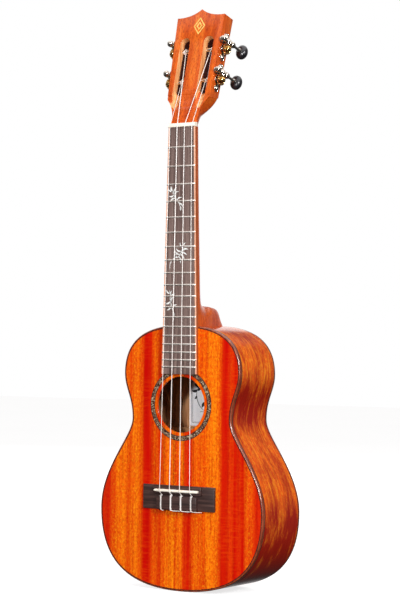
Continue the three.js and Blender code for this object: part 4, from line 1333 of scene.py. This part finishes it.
def add_headstock():
    outlines = [head_outline(), slot_outline(-1), slot_outline(1)]
    plate = stand(flat_shape(outlines, HEAD_THICKNESS, 0.5, 2), 0)
    node = ("headstock",)
    head = piece("headstock_block", *plate, NECK_WOOD, "neck_wood", replaces=node, place=HEAD_FRAME)
    add_stem(head)
    # The head starts where the neck ends, and leaves room for the nut in front
    neck_room = rounded_box((-40, -30, -30), (40, 30, 0.02), 0.01, 1)
    nut_room = rounded_box((-40, -30, -10), (40, 0, NUT_LENGTH + 0.05), 0.01, 1)
    tools = [neck_room, nut_room]
    # A leaning rod cuts the ramp below each slot
    radius = (SLOT_OUTER - SLOT_INNER) / 2 - 0.05
    for side in (-1, 1):
        centre = side * (SLOT_INNER + SLOT_OUTER) / 2
        start, end = Vector((centre, -6, 19)), Vector((centre, 7, 60))
        rod = lathe([(radius, 0), (radius, (end - start).length)], 40)
        turn = Vector((0, 1, 0)).rotation_difference(end - start).to_matrix().to_4x4()
        tools.append(moved(rod, HEAD_FRAME @ Matrix.Translation(start) @ turn))
    for _, side, height in TUNERS:
        bore = lathe([(POST_BORE, POST_INNER - 0.5), (POST_BORE, 5)], 24, about="X")
        tools.append(moved(bore, tuner_frame(side, height)))
    cut(head, tools)
    show_slot_walls(head)
    lines = []
    for shares in ((1, 0.8), (0.5, 0.28)):
        outlines = [diamond(share) for share in shares]
        lines.append(stand(flat_shape(outlines, 0.3), -0.03))
    piece("headstock_inlay", *merged(lines), GOLD_LINE, "gear_brass", place=HEAD_FRAME)


def diamond(share):
    """The outline of the head's diamond inlay, at a share of its full size."""
    middle, half_height, half_width = 113, 10 * share, 7.2 * share
    top, bottom = middle + half_height, middle - half_height
    return [(0, bottom), (half_width, middle), (0, top), (-half_width, middle)]


def show_slot_walls(head):
    """Gives lighter, bare wood to the walls of the slots and their ramps."""
    head.data.materials.append(BARE_WOOD)
    back = HEAD_FRAME.inverted()
    turn = back.to_3x3()
    for face in head.data.polygons:
        x, y, z = back @ (face.center / MM)
        normal = turn @ face.normal
        wall = abs(normal.y) < 0.6 and SLOT_BOTTOM - 1 < z < SLOT_TOP + 1
        outside = abs(x) > SLOT_INNER + 1 and normal.x * x > 0.4 * abs(x)
        ramp = y > 0.05 and z <= SLOT_BOTTOM + 1 and normal.y < -0.05 and not outside
        if SLOT_INNER - 0.2 < abs(x) < SLOT_OUTER + 0.2 and (wall or ramp):
            face.material_index = 1


# ---- tuners ----
def tuner_frame(side, height):
    half = SHOULDER[0] + (height - SHOULDER[1]) * math.tan(SIDE_ANGLE)
    place = Matrix.Translation((side * half, HEAD_THICKNESS / 2, height))
    turn = Matrix.Rotation(side * SIDE_ANGLE, 4, "Y")
    return HEAD_FRAME @ place @ turn @ Matrix.Diagonal((side, 1, 1, 1))


def plate_outline():
    """Scalloped lobes round the two screws and the post."""
    lobes = ((-9.2, 3.9), (0, 5.4), (8.4, 4.2), (13.8, 4.0))
    low, high = -13.3, 18
    steps = 60
    right = []
    for step in range(steps + 1):
        z = low + (high - low) * (1 - math.cos(math.pi * step / steps)) / 2
        half = max(math.sqrt(max(r * r - (z - c) ** 2, 0)) for c, r in lobes)
        right.append((max(half, 1.6 if low < z < high - 0.01 else 0.2), z))
    return right + [(-y, z) for y, z in reversed(right)]


def upright(part, x):
    """A plate drawn in x and y turned to lie across the tuner frame's x axis."""
    points, faces = part
    return [(x + depth, across, up) for across, up, depth in points], faces


def screw_head(centre, radius, height, slot):
    """A domed screw head that faces +X, with a slot across it."""
    profile = [(radius * 0.98, -0.2)]
    for angle in (0, 15, 30, 45, 60, 75, 87):
        a = math.radians(angle)
        profile.append((radius * math.cos(a), height * (0.25 + 0.75 * math.sin(a))))
    points, faces = lathe(profile, 28, about="X")
    floor = height * 0.45
    dented = []
    for x, y, z in points:
        near = max(0, 1 - abs(y) / slot)
        dented.append((x - floor * min(near * 2.2, 1) if x > floor else x, y, z))
    turn = Matrix.Rotation(math.radians(25), 4, "X")
    return moved((dented, faces), Matrix.Translation(centre) @ turn)


PLATE_FACE = 1.3
EAR_Y = 8.6
EAR_RADIUS = 3.5
EAR_HALF = 3.0
PLATE_SCREWS = (14, -9.8)  # their heights in the tuner's frame
# The raised ring round each of the plate's screws, as (radius, along) pairs
SCREW_RINGS = (
    ((3.75, 0), (3.75, 0.5), (3.6, 0.8), (3.35, 0.8), (3.2, 0.5), (3.2, 0)),
    ((3.2, 0), (3.2, 0.4), (3.05, 0.6), (2.7, 0.6), (2.45, 0.4), (2.45, 0)),
)


def plate_part():
    """The plate, the two arms that hold the worm's bearings, and the rings round its screws."""
    hole = arc((0, 0), POST_BORE, 360, 0, 24)[:-1]
    parts = [upright(flat_shape([plate_outline(), hole], PLATE_FACE - 0.1, 0.25), 0.1)]
    for y in (-EAR_Y, EAR_Y):
        low, high = min(y, y * 0.45), max(y, y * 0.45)
        foot = rounded_box((0.1, low, WORM_Z - 2.6), (PLATE_FACE, high, WORM_Z + 2.6), 0.3)
        post = rounded_box((0.1, y - 1.1, WORM_Z - 2.2), (GEAR_X - 1.5, y + 1.1, WORM_Z + 2.2), 0.4)
        parts += [ear(y), foot, post]
    for height, section in zip(PLATE_SCREWS, SCREW_RINGS):
        parts.append(hoop(section, 36, (PLATE_FACE - 0.1, 0, height), "X"))
    return merged(parts)


def ear(y):
    """A ball shaped bearing for one end of the worm, bored for its shaft."""
    bore = SHAFT_RADIUS + 0.08
    lip = 1.9
    steps = 12
    section = [(bore, -EAR_HALF), (lip + 0.1, -EAR_HALF)]
    for step in range(1, steps):
        angle = math.pi * step / steps
        radius = lip + (EAR_RADIUS - lip) * math.sin(angle)
        section.append((radius, -EAR_HALF * math.cos(angle)))
    section += [(lip + 0.1, EAR_HALF), (bore, EAR_HALF)]
    return hoop(section, 32, (GEAR_X, y, WORM_Z))


# A tooth's section: radius, and angle as a share of the step from tooth to tooth
TOOTH = (
    (GEAR_ROOT, -0.36),
    (GEAR_ROOT, -0.27),
    (GEAR_PITCH, -0.19),
    (GEAR_TIP, -0.11),
    (GEAR_TIP, 0.11),
    (GEAR_PITCH, 0.19),
    (GEAR_ROOT, 0.27),
    (GEAR_ROOT, 0.36),
)


def gear_part():
    """The worm wheel, whose teeth slope with the thread and are bevelled at both ends."""
    outline = [(radius, tooth + share) for tooth in range(GEAR_TEETH) for radius, share in TOOTH]
    lead = WORM_PITCH / (2 * math.pi * WORM_PITCH_RADIUS)
    rings = []
    slices = 6
    for index in range(slices + 1):
        along = GEAR_THICKNESS * (index / slices - 0.5)
        twist = along * lead / GEAR_PITCH
        shrink = 0.25 if index in (0, slices) else 0
        ring = []
        for radius, place in outline:
            r = radius - shrink
            turn = place * 2 * math.pi / GEAR_TEETH + twist
            ring.append((GEAR_X + along, -r * math.sin(turn), r * math.cos(turn)))
        rings.append(ring)
    return skin(rings)


def thread_radius(y, angle, fade):
    turns = y / WORM_PITCH + (angle - math.pi / 2) / (2 * math.pi) + 0.5
    from_crest = abs(turns - math.floor(turns + 0.5))
    rise = min(max((0.27 - from_crest) / 0.14, 0), 1)
    return WORM_ROOT + (WORM_TIP - WORM_ROOT) * rise * fade


# The worm's shaft beyond its thread, as (place along, radius): its far end, then its knob end
SHAFT_END = ((-12.2, 0.7), (-12.1, 1.9), (-11.85, 2.1), (-11.68, 1.9), (-11.66, SHAFT_RADIUS))
SHAFT_KNOB_END = (
    (11.66, SHAFT_RADIUS),
    (11.7, 2.0),
    (12.4, 2.2),
    (13.1, 1.9),
    (14.0, 1.5),
    (BUTTON_START - 3.5, 1.5),
    (BUTTON_START - 2.6, 1.9),
    (BUTTON_START - 0.4, 2.5),
    (BUTTON_START + 0.1, 2.5),
    (BUTTON_START + 0.2, SHAFT_RADIUS),
    (BUTTON_START + 5, SHAFT_RADIUS),
)


def worm_part():
    """The shaft and its worm, whose thread is one spiral ridge."""
    angles = turns(36)
    per_turn = 24
    total = WORM_TURNS * per_turn
    half = WORM_TURNS * WORM_PITCH / 2
    sections = [(y, [radius] * 36) for y, radius in (*SHAFT_END, (-half - 0.4, SHAFT_RADIUS))]
    for step in range(total + 1):
        y = -half + step * WORM_PITCH / per_turn
        fade = min(1, min(step, total - step) / 10)
        sections.append((y, [thread_radius(y, angle, fade) for angle in angles]))
    for y, radius in ((half + 0.4, SHAFT_RADIUS), *SHAFT_KNOB_END):
        sections.append((y, [radius] * 36))
    rings = []
    for y, radii in sections:
        spokes = zip(angles, radii)
        rings.append([(GEAR_X + r * math.cos(a), y, WORM_Z - r * math.sin(a)) for a, r in spokes])
    return skin(rings)


def button_part():
    profile = [(0.4, 0.0), (2.9, 0.05)]
    steps = 22
    for step in range(1, steps):
        angle = math.pi * step / steps
        radius = BUTTON_HALF_Z * math.sin(angle) ** 0.62
        along = BUTTON_LENGTH * (1 - math.cos(angle)) / 2
        if radius > 3.1 or step > steps / 2:
            profile.append((radius, along))
    profile.append((0.4, BUTTON_LENGTH))
    centre = (GEAR_X, BUTTON_START, WORM_Z)
    return lathe(profile, 40, centre, BUTTON_HALF_X / BUTTON_HALF_Z)


def post_part():
    """The string post: a barrel with a waist where the string winds, and a stub for the gear."""
    profile = [
        (POST_RADIUS - 0.5, POST_INNER),
        (POST_RADIUS, POST_INNER + 0.5),
        (POST_RADIUS, -19.5),
        (POST_WAIST, -18.5),
        (POST_WAIST, -8),
        (POST_RADIUS, -7),
        (POST_RADIUS, GEAR_INNER_X - 0.1),
        (STUB_RADIUS, GEAR_INNER_X - 0.1),
        (STUB_RADIUS, GEAR_INNER_X + GEAR_THICKNESS),
    ]
    return lathe(profile, 32, about="X")


def wrap_path(side, height, radius, first, last):
    """Turns of string round the post, counted from where it lands towards the side wall."""
    touch = (side * POST_LANDING[height], HEAD_THICKNESS / 2 - POST_RADIUS - radius, height)
    landing = (HEAD_FRAME.inverted() @ tuner_frame(side, height)).inverted() @ Vector(touch)
    reach = POST_WAIST + radius + STRING_GAP
    steps = 26
    path = []
    for step in range(steps + 1):
        turn = first + (last - first) * step / steps
        angle = -math.pi / 2 - 2 * math.pi * turn
        along = landing.x + (2 * radius + 0.12) * turn
        path.append((along, reach * math.sin(angle), -reach * math.cos(angle)))
    return path


# Turns of string that stay with the run, and the turns that the post carries round
RUN_TURNS = (0, 0.85)
POST_TURNS = (1.85, 3.0)


def add_tuners():
    upper, lower = ((PLATE_FACE, 0, height) for height in PLATE_SCREWS)
    screws = [screw_head(upper, 3.4, 3.3, 0.5), screw_head(lower, 2.6, 2.2, 0.45)]
    gear_screw = screw_head((GEAR_X + GEAR_THICKNESS / 2 + 0.1, 0, 0), 3.5, 3.2, 0.5)
    # A piece's name, its shape, its finish and slot, what it turns with, and its CAD node
    rows = (
        ("plate", plate_part(), NICKEL, "nickel", None, "tuner_plate"),
        ("plate_screws", merged(screws), NICKEL, "nickel", None, None),
        ("post", post_part(), NICKEL, "nickel", "tuner_post", "string_post"),
        ("gear", gear_part(), BRASS, "gear_brass", "tuner_post", "worm_gear"),
        ("gear_screw", gear_screw, BRASS, "gear_brass", "tuner_post", "gear_screw"),
        ("worm", worm_part(), NICKEL, "nickel", "tuner_knob", "worm_shaft"),
        ("button", button_part(), BLACK, "button", "tuner_knob", "tuner_button"),
    )
    for number, side, height in TUNERS:
        place = tuner_frame(side, height)
        for name, shape, finish, slot, turner, node in rows:
            body = f"{turner}_{number}" if turner else BODY
            nodes = (f"{node}_{number}",) if node else ()
            sharp = 60 if name == "button" else 32
            piece(f"tuner_{number}_{name}", *shape, finish, slot, body, nodes, sharp, place)
        radius = STRING_DIAMETERS[number - 1] / 2
        wraps = tube(wrap_path(side, height, radius, *POST_TURNS), radius, 10)
        post = f"tuner_post_{number}"
        piece(f"string_{number}_wraps", *wraps, NYLON, "string", post, place=place)


# ---- strings ----
def add_strings():
    for index, (number, side, height) in enumerate(TUNERS):
        radius = STRING_DIAMETERS[index] / 2
        saddle_x = string_x(index, SADDLE_STRING_SPACING)
        nut_x = string_x(index, NUT_STRING_SPACING)
        saddle_y = -SADDLE_HEIGHT - radius - STRING_GAP
        nut_y = NUT_SLOT_Y - radius - STRING_GAP
        first_turn = wrap_path(side, height, radius, *RUN_TURNS)
        top = -TIE_HEIGHT - radius - STRING_GAP
        tie = smooth_path(
            [
                (saddle_x + 12.4, top + 1.6, BRIDGE_BOTTOM - 0.7),
                (saddle_x + 6, top + 0.9, BRIDGE_BOTTOM - 0.8),
                (saddle_x + 1.4, top + 0.5, BRIDGE_BOTTOM - 0.6),
                (saddle_x + 0.5, top, BRIDGE_BOTTOM + 1.2),
                (saddle_x + 0.3, top - 0.1, BRIDGE_BOTTOM + 7),
                (saddle_x + 0.5, top - 0.2, TIE_TOP - 1.2),
                (saddle_x + 1.1, top + 0.7, TIE_TOP + 0.7),
                (saddle_x + 0.5, top + 1.9, TIE_TOP + 1.0),
                (saddle_x - 0.7, top + 1.7, TIE_TOP + 0.9),
                (saddle_x - 0.6, top + 0.2, TIE_TOP + 0.2),
                (saddle_x - 0.5, top - 0.15, TIE_TOP - 2),
                (saddle_x - 0.6, top, BRIDGE_BOTTOM + 6),
                (saddle_x - 0.5, top + 0.1, BRIDGE_BOTTOM + 0.6),
                (saddle_x - 0.2, top + 1.2, BRIDGE_BOTTOM - radius - 0.2),
                (saddle_x, TIE_HOLE_Y, BRIDGE_BOTTOM + 0.2),
                (saddle_x, TIE_HOLE_Y, BRIDGE_BOTTOM + 3),
            ],
            5,
        )
        # The first string's loose end is cut off short
        if index == 0:
            tie = tie[8:]
        run = [
            (saddle_x, TIE_HOLE_Y, TIE_TOP - 3),
            (saddle_x, TIE_HOLE_Y, TIE_TOP + 0.1),
            (saddle_x, saddle_y + 0.45, SADDLE_Z - 1.45),
            (saddle_x, saddle_y + 0.05, SADDLE_Z - 0.6),
            (saddle_x, saddle_y, SADDLE_Z + 0.2),
            (nut_x, nut_y, 0),
            (nut_x, nut_y + 0.02, 0.9),
            (nut_x, nut_y + 0.2, 1.4),
        ]
        run += [tuner_frame(side, height) @ Vector(point) for point in first_turn]
        node = (f"string_{number}",)
        piece(f"string_{number}_run", *tube(run, radius), NYLON, "string", replaces=node)
        piece(f"string_{number}_tie", *tube(tie, radius), NYLON, "string")


# ---- carried-over CAD pieces ----
INSIDE_NODES = (
    "heel_block", "tail_block", "bridge_plate",
    "front_lining_right", "front_lining_left", "back_lining_right", "back_lining_left",
    "upper_face_brace", "lower_face_brace", "fan_brace_left", "fan_brace_right",
    "back_centre_strip", "back_brace_upper", "back_brace_middle", "back_brace_lower",
)


def finish_inside():
    for name in INSIDE_NODES:
        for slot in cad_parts[name].material_slots:
            slot.material = RAW_WOOD


# ---- studio ----
def add_light(name, way, distance, size, power):
    """A square soft light that looks back at the instrument's middle."""
    data = bpy.data.lights.new(name, "AREA")
    data.size = size
    data.energy = power
    light = bpy.data.objects.new(name, data)
    way = Vector(way).normalized()
    light.location = Vector((0, 0.03, -0.25)) + way * distance
    light.rotation_mode = "QUATERNION"
    light.rotation_quaternion = way.to_track_quat("Z", "Y")
    bpy.context.scene.collection.objects.link(light)


def add_world():
    """White behind the instrument, and a dim room with a bright back and top around it."""
    world = bpy.data.worlds.new("studio")
    bpy.context.scene.world = world
    world.use_nodes = True
    tree = world.node_tree
    tree.nodes.clear()

    def add(kind, inputs, **settings):
        node = tree.nodes.new("ShaderNode" + kind)
        for name, value in settings.items():
            setattr(node, name, value)
        for key, value in inputs.items():
            if isinstance(value, bpy.types.NodeSocket):
                tree.links.new(value, node.inputs[key])
            else:
                node.inputs[key].default_value = value
        return node

    def rise(value, low, high):
        inputs = {"Value": value, "From Min": low, "From Max": high}
        return add("MapRange", inputs, interpolation_type="SMOOTHSTEP").outputs["Result"]

    def times(first, second, third=0.0):
        inputs = {0: first, 1: second, 2: third}
        return add("Math", inputs, operation="MULTIPLY_ADD").outputs[0]

    direction = add("TexCoord", {}).outputs["Generated"]
    way = add("SeparateXYZ", {0: direction}).outputs
    # A white panel low down behind on the left, which the shoulder and the foot reflect
    towards = {0: direction, 1: (-0.47, 0.88, 0)}
    facing = add("VectorMath", towards, operation="DOT_PRODUCT").outputs["Value"]
    panel = times(rise(facing, 0.78, 0.9), rise(way["Z"], -0.42, 0.05))
    panel = times(panel, rise(way["Z"], 0.36, 0.31))
    top = rise(way["Z"], 0.5, 0.66)
    dim = times(rise(way["Z"], -0.5, 0.1), 0.15, 0.04)
    # The panel overhead is brighter in the varnish and the metal than it lights them
    glossy = add("LightPath", {}).outputs["Is Glossy Ray"]
    strength = times(top, times(glossy, 1.1, 0.35), times(panel, 1.0, dim))
    room = add("Background", {"Color": (1, 0.97, 0.96, 1), "Strength": strength}).outputs[0]
    white = add("Background", {"Color": (1, 1, 1, 1), "Strength": 1.0}).outputs[0]
    seen = add("LightPath", {}).outputs["Is Camera Ray"]
    shader = add("MixShader", {0: seen, 1: room, 2: white}).outputs[0]
    add("OutputWorld", {"Surface": shader})


FLOOR_REACH = 6
FLOOR_GAP = 0.0002
# Each light's name, way out from the instrument, distance, size and power, in metres and watts
LIGHTS = (
    ("key", (0.185, -0.971, 0.153), 2.4, 0.22, 35),
    ("side_light", (0.84, -0.545, 0.35), 2.3, 0.4, 40),
    ("left_light", (-0.9, 0.3, 0.5), 2.2, 1.0, 6),
    ("back_light", (-0.3, 0.85, 0.35), 2.4, 1.0, 24),
)


def add_floor():
    finish = Finish("floor", Roughness=0.9, Specular_IOR_Level=0.0)
    finish.set(Emission_Color=(1, 1, 1, 1), Emission_Strength=0.76)
    cloud = finish.patches((3, 3, 3), 0.3, 0.7, 2)
    finish.set(Base_Color=finish.mix(cloud, (182, 182, 182), (186, 186, 186)))
    mesh = bpy.data.meshes.new("floor")
    level = cad_box[0].z - FLOOR_GAP
    signs = ((-1, -1), (1, -1), (1, 1), (-1, 1))
    corners = [(x * FLOOR_REACH, y * FLOOR_REACH, level) for x, y in signs]
    mesh.from_pydata(corners, [], [(0, 1, 2, 3)])
    mesh.materials.append(finish.material)
    floor = bpy.data.objects.new("floor", mesh)
    bpy.context.scene.collection.objects.link(floor)
    floor.visible_diffuse = False
    floor.visible_glossy = False


def add_studio():
    add_floor()
    add_world()
    for light in LIGHTS:
        add_light(*light)
    bpy.data.objects["back_light"].visible_glossy = False
    bpy.context.scene.view_settings.view_transform = "Standard"


add_camera()
add_body()
add_rosette()
add_label()
add_bridge()
add_neck()
add_fretboard()
add_nut()
add_headstock()
add_tuners()
add_strings()
finish_inside()
add_studio()
